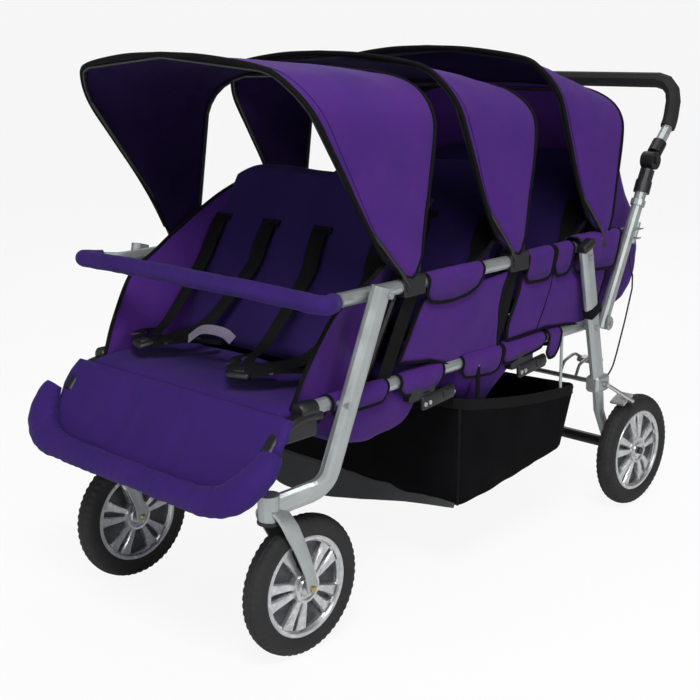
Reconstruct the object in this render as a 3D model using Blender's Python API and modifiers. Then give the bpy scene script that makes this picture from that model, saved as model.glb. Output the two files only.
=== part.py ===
"""A six-seat stroller, three rows of two seats, built from its real pieces.

Metres, +Z up. The front faces -Y and +X is the right-hand side as seen by someone who stands in front.
The origin lies on the floor under the middle of the stroller's outer box.
"""
import math

import bmesh
import bpy
from mathutils import Matrix, Vector

for old in list(bpy.data.objects):
    bpy.data.objects.remove(old, do_unlink=True)

# Clearances
SEAT_GAP = 0.0003      # between two pieces that touch
SIDE_GAP = 0.0010      # between a rail and a link's tube beside it
LEG_GAP = 0.0034       # between a rail and the leaning leg that is bolted to its side
RUN_GAP = 0.0010       # beside a wheel hub or a swinging arm
BOLT_RADIUS = 0.006    # of the bolts through the uprights
BOLT_PROUD = 0.006     # a bolt head's height
NUT_RADIUS = 0.009

# Wheels
WHEEL_RADIUS = 0.140
TYRE_WIDTH = 0.042
RIM_RADIUS = 0.109     # where the tyre's wall ends
RIM_DEPTH = 0.009
RIM_WIDTH = 0.034
HUB_RADIUS = 0.019
HUB_WIDTH = 0.040
SPOKE_PAIRS = 5
SPOKE_WIDTH = 0.011
SPOKE_DEPTH = 0.012
SPOKE_SPREAD = 0.34    # radians between the two arms of a pair at the rim
AXLE_RADIUS = 0.0055
FRONT_TRACK = 0.532
REAR_TRACK = 0.626
CASTER_Y = -0.5885
CASTER_TRAIL = 0.075
REAR_AXLE_Y = 0.5935

# Side frames: an upper and a lower rail on each side
LOWER_Z = 0.500
LOWER_X = 0.305
UPPER_Z = 0.695
UPPER_X = 0.330
RAIL_RADIUS = 0.014
LOWER_FRONT_Y = -0.5465
LOWER_REAR_Y = 0.3805
UPPER_FRONT_Y = -0.4545
UPPER_REAR_Y = 0.4455

# Uprights that join the rails. Each upper pivot lies this far behind its lower one.
LINK_SWING = 0.086
LINK_RADIUS = 0.009
FIRST_LINK_Y = -0.3575
LINK_DROP = 0.038      # how far a link's cross tube lies under the lower rail's axis
ROWS = 3
ROW_PITCH = 0.333

# Front legs
LEG_WIDTH = 0.043
LEG_THICK = 0.025
FRONT_LEG_Y = -0.4605   # its lower pivot
LEG_LEAD = 0.015       # from a pivot to the leg's middle line
LEG_TOP = 0.018        # above the upper rail's axis
LEG_BEND_Z = 0.345
LEG_BEND_RADIUS = 0.055
HOUSING_RADIUS = 0.021
HOUSING_HEIGHT = 0.052
HOUSING_BASE_Z = 0.292
STEM_RADIUS = 0.008

# Caster forks
CROWN_HEIGHT = 0.020
CROWN_WIDTH = 0.052
FORK_THICK = 0.006
FORK_CLEAR = 0.005     # between the tyre's wall and a fork arm
FORK_END_RADIUS = 0.013

# Rear legs and brake
POST_WIDTH = 0.041
POST_THICK = 0.020
POST_GAP = 0.0095      # from a rail to the post outside it, which lets the canopy brackets pass
POST_PIVOT_Y = 0.3545
POST_LEAN = 0.405      # rearward travel for each metre of drop
CLAMP_Z = 0.352
CLAMP_THICK = 0.036
CLAMP_WIDTH = 0.054
CLAMP_HEIGHT = 0.040
STRUT_RADIUS = 0.013
STRUT_CLEAR = 0.004    # between the strut and the tyre beside it
REAR_TUBE_RADIUS = 0.014
EYE_X = 0.245          # middle of the strut's eye on the rear tube
EYE_WIDTH = 0.018
EYE_RADIUS = 0.022
BRAKE_ROD_RADIUS = 0.006
SHOE_CLEAR = 0.012
SHOE_THICK = 0.006
SHOE_LENGTH = 0.045
SHOE_ANGLE = 22.0      # ahead of the wheel's top
PEDAL_X = 0.235
PEDAL_WIDTH = 0.055
PEDAL_ARM = ((0, 0, 0), (0, 0.016, 0.030), (0, 0.060, 0.042), (0, 0.098, 0.022))
CRANK_RADIUS = 0.005

# Seats
SEAT_FRONT_Y = -0.5725
SEAT_DEPTH = 0.186
SEAT_TOP_Z = 0.512
SEAT_THICK = 0.034
BACK_LENGTH = 0.425
BACK_ANGLE = 31.0      # from upright
BACK_THICK = 0.034
BACK_FOOT_WIDTH = 0.520
BACK_HEAD_WIDTH = 0.566
BACK_FOOT_Y = 0.014    # behind the link's lower pivot
BACK_START = 0.010     # from the recline axis to the backrest's measured lower edge
HEM_RADIUS = 0.007
HEM_REACH = 0.2747     # from the middle to the back frame's tube
COVER_CLOTH = 0.003
SEAT_BAR_RADIUS = 0.010
SEAT_BAR_BACK = 0.010  # behind the seat's front edge
HANGER_LENGTH = 0.078
HANGER_WIDTH = 0.024
HANGER_HEIGHT = 0.036

# Footrest
FOOT_START = 0.022     # from the seat's front edge to the panel's upper edge
FOOT_LIP_Y = -0.7335
FOOT_LIP_Z = 0.322
FOOT_HALF_WIDTH = 0.300
FOOT_THICK = 0.022
FOOT_LIP_HEIGHT = 0.040
FOOT_TUBE_RADIUS = 0.008
FOOT_EYE_X = 0.262
FOOT_EYE_RADIUS = 0.016
FOOT_EYE_WIDTH = 0.014

# Bumper bar
BUMPER_HALF_WIDTH = 0.373
BUMPER_Y = -0.5365
BUMPER_RISE = 0.007
BUMPER_RADIUS = 0.018
BUMPER_BEND = 0.045

# Canopies: one row of values for each row of seats, front to rear
CANOPY_HALF_WIDTH = 0.331
FRONT_BOW_HEIGHT = (0.515, 0.473, 0.475)
FRONT_BOW_ANGLE = (34.0, 27.0, 26.0)
REAR_BOW_HEIGHT = (0.397, 0.364, 0.346)
REAR_BOW_ANGLE = (-9.0, -8.0, -8.0)
BOW_RADIUS = 0.0045
BRACKET_LENGTH = 0.062
BRACKET_HEIGHT = 0.040
BRACKET_OUT = 0.017    # from the rail's axis to the bracket's outer face
BRACKET_IN = 0.0165
BOW_SPACING = 0.040    # between the two bows' feet on a bracket
BOW_TAB_RADIUS = 0.0095
BOW_TAB_THICK = 0.003
CLOTH = 0.0016

# Handle
HANDLE_RADIUS = 0.0135
KNUCKLE_Y = 0.4135
KNUCKLE_PIN = 0.005
PLATE_THICK = 0.004
PLATE_RADIUS = 0.017
HANDLE_X = 0.343       # at the adjusters
ADJUSTER_Y = 0.5655
ADJUSTER_Z = 0.863
ADJUSTER_RADIUS = 0.021
ADJUSTER_HALF = 0.0155
SOCKET_LENGTH = 0.034
SOCKET_RADIUS = 0.017
GRIP_TOP_Z = 1.060
GRIP_REAR_Y = 0.6845
GRIP_RADIUS = 0.018
GRIP_BEND = 0.060
GRIP_END = 0.045       # bare tube between an adjuster's socket and the foam
BAR_RADIUS = 0.0125
BUTTON_RADIUS = 0.008
BUTTON_LENGTH = 0.012
BUTTON_PROUD = 0.005

# Basket
BASKET_FRONT_Y = -0.0985
BASKET_REAR_Y = 0.3255
BASKET_HALF_WIDTH = 0.318
BASKET_TAPER = 0.020
BASKET_FRONT_TOP = 0.420
BASKET_REAR_TOP = 0.362
BASKET_FRONT_BASE = 0.176
BASKET_REAR_BASE = 0.222
BASKET_WALL = 0.004
BASKET_CORNER = 0.020
HOOK_INSET = 0.060     # from the basket's ends
HOOK_RADIUS = 0.0035

# Lock barrels on the handle tubes and the cables below them
BARREL_RADIUS = 0.009
BARREL_LENGTH = 0.052
BARREL_ALONG = 0.215   # from the knuckle, up the tube
CABLE_RADIUS = 0.0022
CLIP_REACH = 0.018
CLIP_WIRE = 0.0018


SIDES = {"left": -1, "right": 1}
RAIL_RISE = UPPER_Z - LOWER_Z
SEAT_HALF_WIDTH = LOWER_X - RAIL_RADIUS - SEAT_GAP
SEAT_BAR_Z = SEAT_TOP_Z - SEAT_THICK - SEAT_GAP - SEAT_BAR_RADIUS


def material(name, colour, roughness, metallic=0.0):
    """A plain Principled material."""
    made = bpy.data.materials.new(name)
    made.use_nodes = True
    shader = made.node_tree.nodes["Principled BSDF"]
    shader.inputs["Base Color"].default_value = (*colour, 1.0)
    shader.inputs["Roughness"].default_value = roughness
    shader.inputs["Metallic"].default_value = metallic
    made.diffuse_color = (*colour, 1.0)
    return made


SILVER = ("silver_paint", (0.56, 0.58, 0.58), 0.38, 0.75)
BLACK = ("black_plastic", (0.025, 0.025, 0.028), 0.50)
STEEL = ("zinc_steel", (0.62, 0.62, 0.60), 0.32, 0.90)
RUBBER = ("tyre_rubber", (0.045, 0.045, 0.048), 0.85)
ALLOY = ("rim_silver", (0.60, 0.62, 0.63), 0.35, 0.60)
PURPLE = ("purple_cloth", (0.085, 0.030, 0.230), 0.85)
DARK_CLOTH = ("black_cloth", (0.018, 0.018, 0.020), 0.90)
FOAM = ("grip_foam", (0.022, 0.022, 0.024), 0.80)

model = bpy.data.collections.new("six_seat_stroller")
cutters = bpy.data.collections.new("cutters")
bpy.context.scene.collection.children.link(model)
bpy.context.scene.collection.children.link(cutters)
pivots = {}


def pivot(name, place, parent=None):
    """An empty on a joint's axis, which the pieces of a moving body hang on."""
    empty = bpy.data.objects.new(name + "_pivot", None)
    empty.empty_display_size = 0.03
    empty.location = place
    model.objects.link(empty)
    if parent:
        empty.parent = pivots[parent]
        empty.location = Vector(place) - pivots[parent].matrix_world.translation
    bpy.context.view_layer.update()
    pivots[name] = empty
    return empty


def raw(mesh, name="shape"):
    """A mesh as an object among the cutters, to be joined, cut or placed."""
    shape = bpy.data.objects.new(name, mesh)
    cutters.objects.link(shape)
    return shape


def evaluated(shape):
    """The shape with its modifiers, as a welded mesh in world coordinates."""
    bpy.context.view_layer.update()
    graph = bpy.context.evaluated_depsgraph_get()
    mesh = bpy.data.meshes.new_from_object(shape.evaluated_get(graph))
    mesh.transform(shape.matrix_world)
    cleaned = bmesh.new()
    cleaned.from_mesh(mesh)
    bmesh.ops.remove_doubles(cleaned, verts=cleaned.verts, dist=0.00002)
    bmesh.ops.dissolve_degenerate(cleaned, dist=0.00001, edges=cleaned.edges)
    bmesh.ops.recalc_face_normals(cleaned, faces=cleaned.faces)
    cleaned.to_mesh(mesh)
    cleaned.free()
    mesh.materials.clear()
    bpy.data.objects.remove(shape, do_unlink=True)
    return mesh


def node(name, shape, look, body=None, smooth=40):
    """A finished piece of the stroller, with its material, hung on its body's pivot."""
    mesh = evaluated(shape) if isinstance(shape, bpy.types.Object) else shape
    mesh.name = name
    piece = bpy.data.objects.new(name, mesh)
    piece.data.materials.append(material(name + "_finish", *look[1:]))
    mesh.shade_smooth()
    mesh.set_sharp_from_angle(angle=math.radians(smooth))
    model.objects.link(piece)
    if body:
        piece.parent = pivots[body]
        piece.matrix_parent_inverse = pivots[body].matrix_world.inverted()
    return piece


def box(low, high, bevel=0.0):
    """A block between two corners, with its edges rounded if asked."""
    low, high = Vector(low), Vector(high)
    made = bmesh.new()
    bmesh.ops.create_cube(made, size=1.0)
    bmesh.ops.scale(made, vec=high - low, verts=made.verts)
    bmesh.ops.translate(made, vec=(high + low) / 2, verts=made.verts)
    if bevel:
        bmesh.ops.bevel(made, geom=made.edges, offset=bevel, segments=1, affect="EDGES", profile=0.5)
    mesh = bpy.data.meshes.new("box")
    made.to_mesh(mesh)
    made.free()
    return raw(mesh)


def rod(start, end, radius, sides=12, end_radius=None):
    """A cylinder, or a cone, between two points."""
    start, end = Vector(start), Vector(end)
    made = bmesh.new()
    bmesh.ops.create_cone(
        made, cap_ends=True, segments=sides, radius1=radius,
        radius2=radius if end_radius is None else end_radius, depth=(end - start).length,
    )
    turn = Vector((0, 0, 1)).rotation_difference(end - start).to_matrix().to_4x4()
    bmesh.ops.transform(made, matrix=Matrix.Translation((start + end) / 2) @ turn, verts=made.verts)
    mesh = bpy.data.meshes.new("rod")
    made.to_mesh(mesh)
    made.free()
    return raw(mesh)


def bore(start, end, radius, sides=14):
    """A round cutter whose flats, not its corners, lie at the radius."""
    return rod(start, end, radius / math.cos(math.pi / sides), sides)


def bent(points, radius, steps=3):
    """A path through the points, whose inner corners are arcs of the radius."""
    points = [Vector(p) for p in points]
    path = [points[0]]
    for before, corner, after in zip(points, points[1:], points[2:]):
        to_start, to_end = (before - corner).normalized(), (after - corner).normalized()
        angle = to_start.angle(to_end)
        room = 0.49 * min((before - corner).length, (after - corner).length)
        reach = min(radius / math.tan(angle / 2), room)
        centre = corner + (to_start + to_end).normalized() * reach / math.cos(angle / 2)
        first, last = corner + to_start * reach - centre, corner + to_end * reach - centre
        for step in range(steps + 1):
            path.append(centre + first.slerp(last, step / steps) * first.length)
    path.append(points[-1])
    return path


def spline_through(points, steps):
    """A smooth path through the points, a Catmull-Rom curve with steps pieces between each two."""
    points = [Vector(p) for p in points]
    padded = [points[0] * 2 - points[1], *points, points[-1] * 2 - points[-2]]
    path = []
    for a, b, c, d in zip(padded, padded[1:], padded[2:], padded[3:]):
        for step in range(steps):
            t = step / steps
            bend, twist = 2 * a - 5 * b + 4 * c - d, 3 * b - a - 3 * c + d
            path.append(0.5 * (2 * b + (c - a) * t + bend * t * t + twist * t ** 3))
    path.append(points[-1])
    return path


def curve_along(path, sides, closed=False):
    curve = bpy.data.curves.new("path", "CURVE")
    curve.dimensions = "3D"
    curve.bevel_resolution = (sides - 4) // 2
    curve.use_fill_caps = True
    line = curve.splines.new("POLY")
    line.points.add(len(path) - 1)
    for point, place in zip(line.points, path):
        point.co = (*place, 1.0)
    line.use_cyclic_u = closed
    return curve


def thinned(path, turn=7.0):
    """The path without the points at which it hardly turns, in degrees."""
    kept = [path[0]]
    for point, after in zip(path[1:], path[2:]):
        if math.degrees((point - kept[-1]).angle(after - point)) > turn:
            kept.append(point)
    return [*kept, path[-1]]


def tube(path, radius, sides=10):
    """A round bar along a path, as a mesh object."""
    curve = curve_along(path, sides)
    curve.bevel_depth = radius
    return raw(evaluated(raw(curve)))


def oval_tube(path, width, thick, sides=12):
    """A bar of oval section along a steep path, with its flat faces turned to +X and -X."""
    flat = bpy.data.curves.new("section", "CURVE")
    flat.dimensions = "2D"
    line = flat.splines.new("POLY")
    straight = (width - thick) / 2
    section = []
    for side in (1, -1):
        for step in range(sides // 2):
            turn = math.pi * step / (sides // 2 - 1) - math.pi / 2
            round_end = math.cos(turn) * thick / 2
            section.append((side * (straight + round_end), side * math.sin(turn) * thick / 2))
    line.points.add(len(section) - 1)
    for point, (along, across) in zip(line.points, section):
        point.co = (across, along, 0, 1)
    line.use_cyclic_u = True
    profile = raw(flat)
    curve = curve_along(path, 8)
    curve.twist_mode = "Z_UP"
    curve.bevel_mode = "OBJECT"
    curve.bevel_object = profile
    side = Vector((1, 0, 0))
    for index, point in enumerate(curve.splines[0].points):
        before, after = Vector(path[max(index - 1, 0)]), Vector(path[min(index + 1, len(path) - 1)])
        ahead = (after - before).normalized()
        level = ahead.cross(Vector((0, 0, 1))).normalized()
        facing = (side - ahead * side.dot(ahead)).normalized()
        facing *= math.copysign(1, facing.dot(level))
        point.tilt = math.atan2(level.cross(facing).dot(ahead), level.dot(facing))
    swept = evaluated(raw(curve))
    bpy.data.objects.remove(profile, do_unlink=True)
    return raw(swept)


def turned(profile, centre, steps=24, closed=False):
    """A profile of (along the X axis, radius) points turned about the X axis through the centre."""
    made = bmesh.new()
    points = [made.verts.new((radius, 0, along)) for along, radius in profile]
    for one, two in zip(points, points[1:]):
        made.edges.new((one, two))
    if closed:
        made.edges.new((points[-1], points[0]))
    mesh = bpy.data.meshes.new("profile")
    made.to_mesh(mesh)
    made.free()
    shape = raw(mesh)
    screw = shape.modifiers.new("turn", "SCREW")
    screw.steps = screw.render_steps = steps
    screw.use_merge_vertices = True
    screw.merge_threshold = 0.00001
    shape.matrix_world = Matrix.Translation(centre) @ Matrix.Rotation(math.pi / 2, 4, "Y")
    return raw(evaluated(shape))


def plate(outlines, thick, origin, along, up):
    """A flat piece of closed outlines, the later ones holes, with its middle plane through the origin."""
    curve = bpy.data.curves.new("outline", "CURVE")
    curve.dimensions = "2D"
    curve.fill_mode = "BOTH"
    curve.extrude = thick / 2
    for outline in outlines:
        line = curve.splines.new("POLY")
        line.points.add(len(outline) - 1)
        for point, (u, v) in zip(line.points, outline):
            point.co = (u, v, 0, 1)
        line.use_cyclic_u = True
    shape = raw(curve)
    along, up = Vector(along).normalized(), Vector(up).normalized()
    out = along.cross(up)
    turn = Matrix((along, up, out)).transposed().to_4x4()
    shape.matrix_world = Matrix.Translation(origin) @ turn
    return raw(evaluated(shape))


def combined(shapes, cuts=()):
    """The shapes joined into one body, with the cuts taken out of it."""
    base = shapes[0]
    others = [(shape, "UNION") for shape in shapes[1:]] + [(shape, "DIFFERENCE") for shape in cuts]
    for shape, kind in others:
        joint = base.modifiers.new("join", "BOOLEAN")
        joint.operation = kind
        joint.object = shape
    mesh = evaluated(base)
    for shape, kind in others:
        bpy.data.objects.remove(shape, do_unlink=True)
    return raw(mesh)


def arc(centre, radius, start, end, steps):
    """Points on an arc in a plane, with its angles in degrees."""
    return [
        (centre[0] + radius * math.cos(math.radians(start + (end - start) * i / steps)),
         centre[1] + radius * math.sin(math.radians(start + (end - start) * i / steps)))
        for i in range(steps + 1)
    ]


def rail_x(z, outward=0.0):
    """The side frame's plane: the rails' X at a height, and an offset outward from it."""
    return LOWER_X + (UPPER_X - LOWER_X) * (z - LOWER_Z) / RAIL_RISE + outward


def link_y(row):
    return FIRST_LINK_Y + row * ROW_PITCH


def bracket_y(row):
    return link_y(row) + LINK_SWING


# Wheels

def wheel_rim():
    """A moulded five-spoke rim about the X axis: barrel, hub and pairs of spokes."""
    inner = RIM_RADIUS - RIM_DEPTH
    half = RIM_WIDTH / 2
    barrel = turned(
        [(-half, inner), (-half, RIM_RADIUS), (half, RIM_RADIUS), (half, inner)],
        (0, 0, 0), 24, True,
    )
    hub_half = HUB_WIDTH / 2
    hub = turned(
        [(-hub_half, 0), (-hub_half, HUB_RADIUS), (hub_half, HUB_RADIUS), (hub_half, 0)],
        (0, 0, 0), 12,
    )
    spokes = []
    for pair in range(SPOKE_PAIRS):
        for side in (-1, 1):
            middle = 2 * math.pi * pair / SPOKE_PAIRS
            foot = middle + side * 0.30
            head = middle + side * SPOKE_SPREAD / 2
            start = Vector((0, math.sin(foot), math.cos(foot))) * HUB_RADIUS * 0.75
            end = Vector((0, math.sin(head), math.cos(head))) * (inner + 0.004)
            made = bmesh.new()
            bmesh.ops.create_cube(made, size=1.0)
            for vert in made.verts:
                wide = 1.0 if vert.co.z < 0 else 1.35
                vert.co = Vector((vert.co.x * SPOKE_DEPTH, vert.co.y * SPOKE_WIDTH * wide, vert.co.z))
            length = (end - start).length
            bmesh.ops.scale(made, vec=(1, 1, length), verts=made.verts)
            ray = (end - start).normalized()
            turn = Matrix((Vector((1, 0, 0)), ray.cross(Vector((1, 0, 0))), ray)).transposed().to_4x4()
            bmesh.ops.transform(made, matrix=Matrix.Translation((start + end) / 2) @ turn, verts=made.verts)
            mesh = bpy.data.meshes.new("spoke")
            made.to_mesh(mesh)
            made.free()
            spokes.append(raw(mesh))
    hole = bore((-HUB_WIDTH, 0, 0), (HUB_WIDTH, 0, 0), AXLE_RADIUS + SEAT_GAP, 12)
    return evaluated(combined([barrel, hub, *spokes], [hole]))


def wheel_tyre():
    """A tyre about the X axis, round at the tread and seated on the rim."""
    half = TYRE_WIDTH / 2
    wall = half - 0.004
    inner = RIM_RADIUS + SEAT_GAP
    return evaluated(turned(
        [(-wall, inner), (-half, inner + 0.008), (-half + 0.002, WHEEL_RADIUS - 0.010),
         (-half * 0.45, WHEEL_RADIUS), (half * 0.45, WHEEL_RADIUS), (half - 0.002, WHEEL_RADIUS - 0.010),
         (half, inner + 0.008), (wall, inner)],
        (0, 0, 0), 24, True,
    ))


def place_wheel(name, centre, body):
    for part, mesh, look in (("tyre", tyre_mesh, RUBBER), ("rim", rim_mesh, ALLOY)):
        copy = mesh.copy()
        copy.transform(Matrix.Translation(centre))
        node(part + "_" + name, copy, look, body)


rim_mesh = wheel_rim()
tyre_mesh = wheel_tyre()


# Bodies and their pivots

POST_TOP_Z = UPPER_Z + 0.006


def post_y(z):
    return POST_PIVOT_Y + POST_LEAN * (LOWER_Z - z)


pivot("front_legs", (0, FRONT_LEG_Y, LOWER_Z))
for side, sign in SIDES.items():
    pivot("caster_" + side, (sign * FRONT_TRACK / 2, CASTER_Y, HOUSING_BASE_Z), "front_legs")
    wheel_middle = (sign * FRONT_TRACK / 2, CASTER_Y + CASTER_TRAIL, WHEEL_RADIUS)
    pivot("front_wheel_" + side, wheel_middle, "caster_" + side)
pivot("rear_legs", (0, POST_PIVOT_Y, LOWER_Z))
for side, sign in SIDES.items():
    pivot("rear_wheel_" + side, (sign * REAR_TRACK / 2, REAR_AXLE_Y, WHEEL_RADIUS), "rear_legs")
pivot("brake", (0, post_y(CLAMP_Z), CLAMP_Z), "rear_legs")
pivot("upper_frame", (0, FRONT_LEG_Y + LINK_SWING, UPPER_Z))
for row in range(ROWS):
    pivot(f"back_frame_{row + 1}", (0, link_y(row), LOWER_Z))
    pivot(f"backrest_{row + 1}", (0, link_y(row) + BACK_FOOT_Y, LOWER_Z), f"back_frame_{row + 1}")
    pivot(f"canopy_{row + 1}", (0, bracket_y(row) - BOW_SPACING / 2, UPPER_Z), "upper_frame")
pivot("footrest", (0, SEAT_FRONT_Y + SEAT_BAR_BACK, SEAT_BAR_Z))
pivot("handle", (0, KNUCKLE_Y, LOWER_Z))
pivot("handle_bar", (0, ADJUSTER_Y, ADJUSTER_Z), "handle")
for side, sign in SIDES.items():
    pivot("button_" + side, (sign * HANDLE_X, ADJUSTER_Y, ADJUSTER_Z), "handle_bar")


# Front legs, casters and front wheels

def leg_x(z):
    return rail_x(z, RAIL_RADIUS + LEG_GAP + LEG_THICK / 2)


def leg_y(z):
    share = (z - LOWER_Z) / RAIL_RISE
    return FRONT_LEG_Y + LEG_LEAD + (LINK_SWING - 2 * LEG_LEAD) * share


HOUSING_TOP_Z = HOUSING_BASE_Z + HOUSING_HEIGHT
CROWN_TOP_Z = HOUSING_BASE_Z - SEAT_GAP


def front_leg(sign):
    top = UPPER_Z + LEG_TOP
    housing = Vector((sign * FRONT_TRACK / 2, CASTER_Y, (HOUSING_BASE_Z + HOUSING_TOP_Z) / 2))
    knee = Vector((sign * leg_x(LEG_BEND_Z), leg_y(LEG_BEND_Z), LEG_BEND_Z))
    path = bent([(sign * leg_x(top), leg_y(top), top), knee, housing], LEG_BEND_RADIUS, 5)
    leg = oval_tube(path, LEG_WIDTH, LEG_THICK)
    base, cap = (Vector((housing.x, housing.y, z)) for z in (HOUSING_BASE_Z, HOUSING_TOP_Z))
    parts = [leg, rod(base, cap, HOUSING_RADIUS, 18)]
    for z, y in ((LOWER_Z, FRONT_LEG_Y), (UPPER_Z, FRONT_LEG_Y + LINK_SWING)):
        inner = rail_x(z, RAIL_RADIUS + SEAT_GAP)
        outer = leg_x(z) + LEG_THICK / 2 + BOLT_PROUD
        parts.append(rod((sign * inner, y, z), (sign * outer, y, z), BOLT_RADIUS, 10))
    hole = bore(
        (housing.x, housing.y, HOUSING_BASE_Z - 0.01), (housing.x, housing.y, HOUSING_TOP_Z - 0.006),
        STEM_RADIUS + SEAT_GAP,
    )
    return combined(parts, [hole])


def fork(sign):
    """Stem, crown, two blades and the axle bolt, which is fixed in the blades."""
    x = sign * FRONT_TRACK / 2
    axle_y = CASTER_Y + CASTER_TRAIL
    inside = TYRE_WIDTH / 2 + FORK_CLEAR
    crown_base = CROWN_TOP_Z - CROWN_HEIGHT
    stem = rod((x, CASTER_Y, crown_base + 0.004), (x, CASTER_Y, HOUSING_TOP_Z - 0.008), STEM_RADIUS, 16)
    crown = box(
        (x - inside - FORK_THICK / 2, CASTER_Y - CROWN_WIDTH / 2, crown_base),
        (x + inside + FORK_THICK / 2, CASTER_Y + CROWN_WIDTH / 2, CROWN_TOP_Z), 0.004,
    )
    front, rear = CASTER_Y - CROWN_WIDTH / 2 - 0.001, CASTER_Y + CROWN_WIDTH / 2 + 0.001
    end = arc((axle_y, WHEEL_RADIUS), FORK_END_RADIUS, 200, 380, 6)
    outline = [
        (rear, CROWN_TOP_Z - 0.003), (front, CROWN_TOP_Z - 0.003), (front - 0.002, crown_base),
        (CASTER_Y - 0.012, crown_base - 0.040), (CASTER_Y + 0.022, WHEEL_RADIUS + 0.042),
        *end, (axle_y + 0.002, WHEEL_RADIUS + 0.055), (rear + 0.006, crown_base - 0.020),
    ]
    parts = [stem, crown]
    for side in (-1, 1):
        middle = (x + side * (inside + FORK_THICK / 2), 0, 0)
        parts.append(plate([outline], FORK_THICK, middle, (0, 1, 0), (0, 0, 1)))
    reach = inside + FORK_THICK
    axle = Vector((x, axle_y, WHEEL_RADIUS))
    out = Vector((1, 0, 0))
    parts.append(rod(axle - out * reach, axle + out * reach, AXLE_RADIUS, 10))
    for side in (-1, 1):
        nut = axle + out * side * (reach - 0.001), axle + out * side * (reach + BOLT_PROUD)
        parts.append(rod(*nut, NUT_RADIUS, 6))
    return combined(parts)


for side, sign in SIDES.items():
    node("front_leg_" + side, front_leg(sign), SILVER, "front_legs")
    node("fork_" + side, fork(sign), SILVER, "caster_" + side)
    place_wheel(
        "front_" + side, (sign * FRONT_TRACK / 2, CASTER_Y + CASTER_TRAIL, WHEEL_RADIUS), "front_wheel_" + side
    )
    place_wheel("rear_" + side, (sign * REAR_TRACK / 2, REAR_AXLE_Y, WHEEL_RADIUS), "rear_wheel_" + side)


# Lower rails, with the handle's knuckle plates and the basket's hooks

def handle_x(z):
    knuckle = LOWER_X + PLATE_THICK * 2 + RUN_GAP + HANDLE_RADIUS
    share = (z - LOWER_Z) / (ADJUSTER_Z - LOWER_Z)
    return knuckle + share * (HANDLE_X - knuckle)


def basket_rim(y):
    """The height of the basket's sloping rim."""
    share = (y - BASKET_FRONT_Y) / (BASKET_REAR_Y - BASKET_FRONT_Y)
    return BASKET_FRONT_TOP + (BASKET_REAR_TOP - BASKET_FRONT_TOP) * share


def lower_rail(sign):
    ends = [(sign * LOWER_X, y, LOWER_Z) for y in (LOWER_FRONT_Y, LOWER_REAR_Y)]
    parts = [tube(ends, RAIL_RADIUS, 12)]
    middle = handle_x(LOWER_Z)
    for offset in (-1, 1):
        at = middle + offset * (HANDLE_RADIUS + RUN_GAP + PLATE_THICK / 2)
        reach = LOWER_REAR_Y - 0.020 if offset < 0 else KNUCKLE_Y - PLATE_RADIUS * 0.5
        outline = arc((KNUCKLE_Y, LOWER_Z), PLATE_RADIUS, -90, 90, 6) + [
            (reach, LOWER_Z + PLATE_RADIUS * 0.7), (reach, LOWER_Z - PLATE_RADIUS * 0.7)
        ]
        parts.append(plate([outline], PLATE_THICK, (sign * at, 0, 0), (0, 1, 0), (0, 0, 1)))
    reach = HANDLE_RADIUS + RUN_GAP + PLATE_THICK
    pin = [(sign * (middle + x), KNUCKLE_Y, LOWER_Z) for x in (0.001 - reach, reach + BOLT_PROUD)]
    parts.append(rod(*pin, KNUCKLE_PIN, 12))
    for y in (BASKET_FRONT_Y + HOOK_INSET, BASKET_REAR_Y - HOOK_INSET):
        x = sign * (BASKET_HALF_WIDTH - BASKET_WALL / 2)
        foot = (x, y, basket_rim(y - HOOK_RADIUS) + SEAT_GAP)
        parts.append(rod((x, y, LOWER_Z), foot, HOOK_RADIUS, 8))
    return combined(parts)


for side, sign in SIDES.items():
    node("lower_rail_" + side, lower_rail(sign), SILVER)


# Seat bars: a cross tube under each seat's front edge, hung from both lower rails by black hangers

def seat_front(row):
    return SEAT_FRONT_Y + row * ROW_PITCH


def seat_bar(row):
    y = seat_front(row) + SEAT_BAR_BACK
    top = LOWER_Z - RAIL_RADIUS - SEAT_GAP
    z = SEAT_BAR_Z
    parts = [tube([(-LOWER_X, y, z), (LOWER_X, y, z)], SEAT_BAR_RADIUS, 10)]
    for sign in SIDES.values():
        parts.append(box(
            (sign * LOWER_X - HANGER_WIDTH / 2, y - HANGER_LENGTH * 0.30, top - HANGER_HEIGHT),
            (sign * LOWER_X + HANGER_WIDTH / 2, y + HANGER_LENGTH * 0.70, top), 0.004,
        ))
    return combined(parts)


# Cushions and padded backs

def padded(width, head_width, depth, thick, lanes, across=8, along=6):
    """A quilted pad flat in XY, from Y 0 to the depth, crowned and thin at its sewn edges and lanes."""
    made = bmesh.new()
    bmesh.ops.create_cube(made, size=2.0)
    for axis, cuts in ((0, across - 1), (1, along - 1)):
        long_edges = [e for e in made.edges if abs(e.verts[0].co[axis] - e.verts[1].co[axis]) > 1]
        bmesh.ops.subdivide_edges(made, edges=long_edges, cuts=cuts, use_grid_fill=True)
    for vert in made.verts:
        a, b, c = vert.co
        share = (b + 1) / 2
        half = (width + (head_width - width) * share) / 2
        rim = (1 - a ** 8) * (1 - b ** 8)
        lane = abs(math.sin(math.pi * lanes * (a + 1) / 2))
        swell = 0.45 + rim * (0.55 - 0.25 * (1 - lane) ** 2)
        draw = 1 - 0.015 * (1 - b * b) * abs(a) ** 3
        vert.co = Vector((a * half * draw, depth * share, c * thick / 2 * swell))
    mesh = bpy.data.meshes.new("pad")
    made.to_mesh(mesh)
    made.free()
    return raw(mesh)


def seat_cushion(row):
    pad = padded(2 * SEAT_HALF_WIDTH, 2 * SEAT_HALF_WIDTH, SEAT_DEPTH, SEAT_THICK, 2)
    pad.matrix_world = Matrix.Translation((0, seat_front(row), SEAT_TOP_Z - SEAT_THICK / 2))
    return pad


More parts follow.
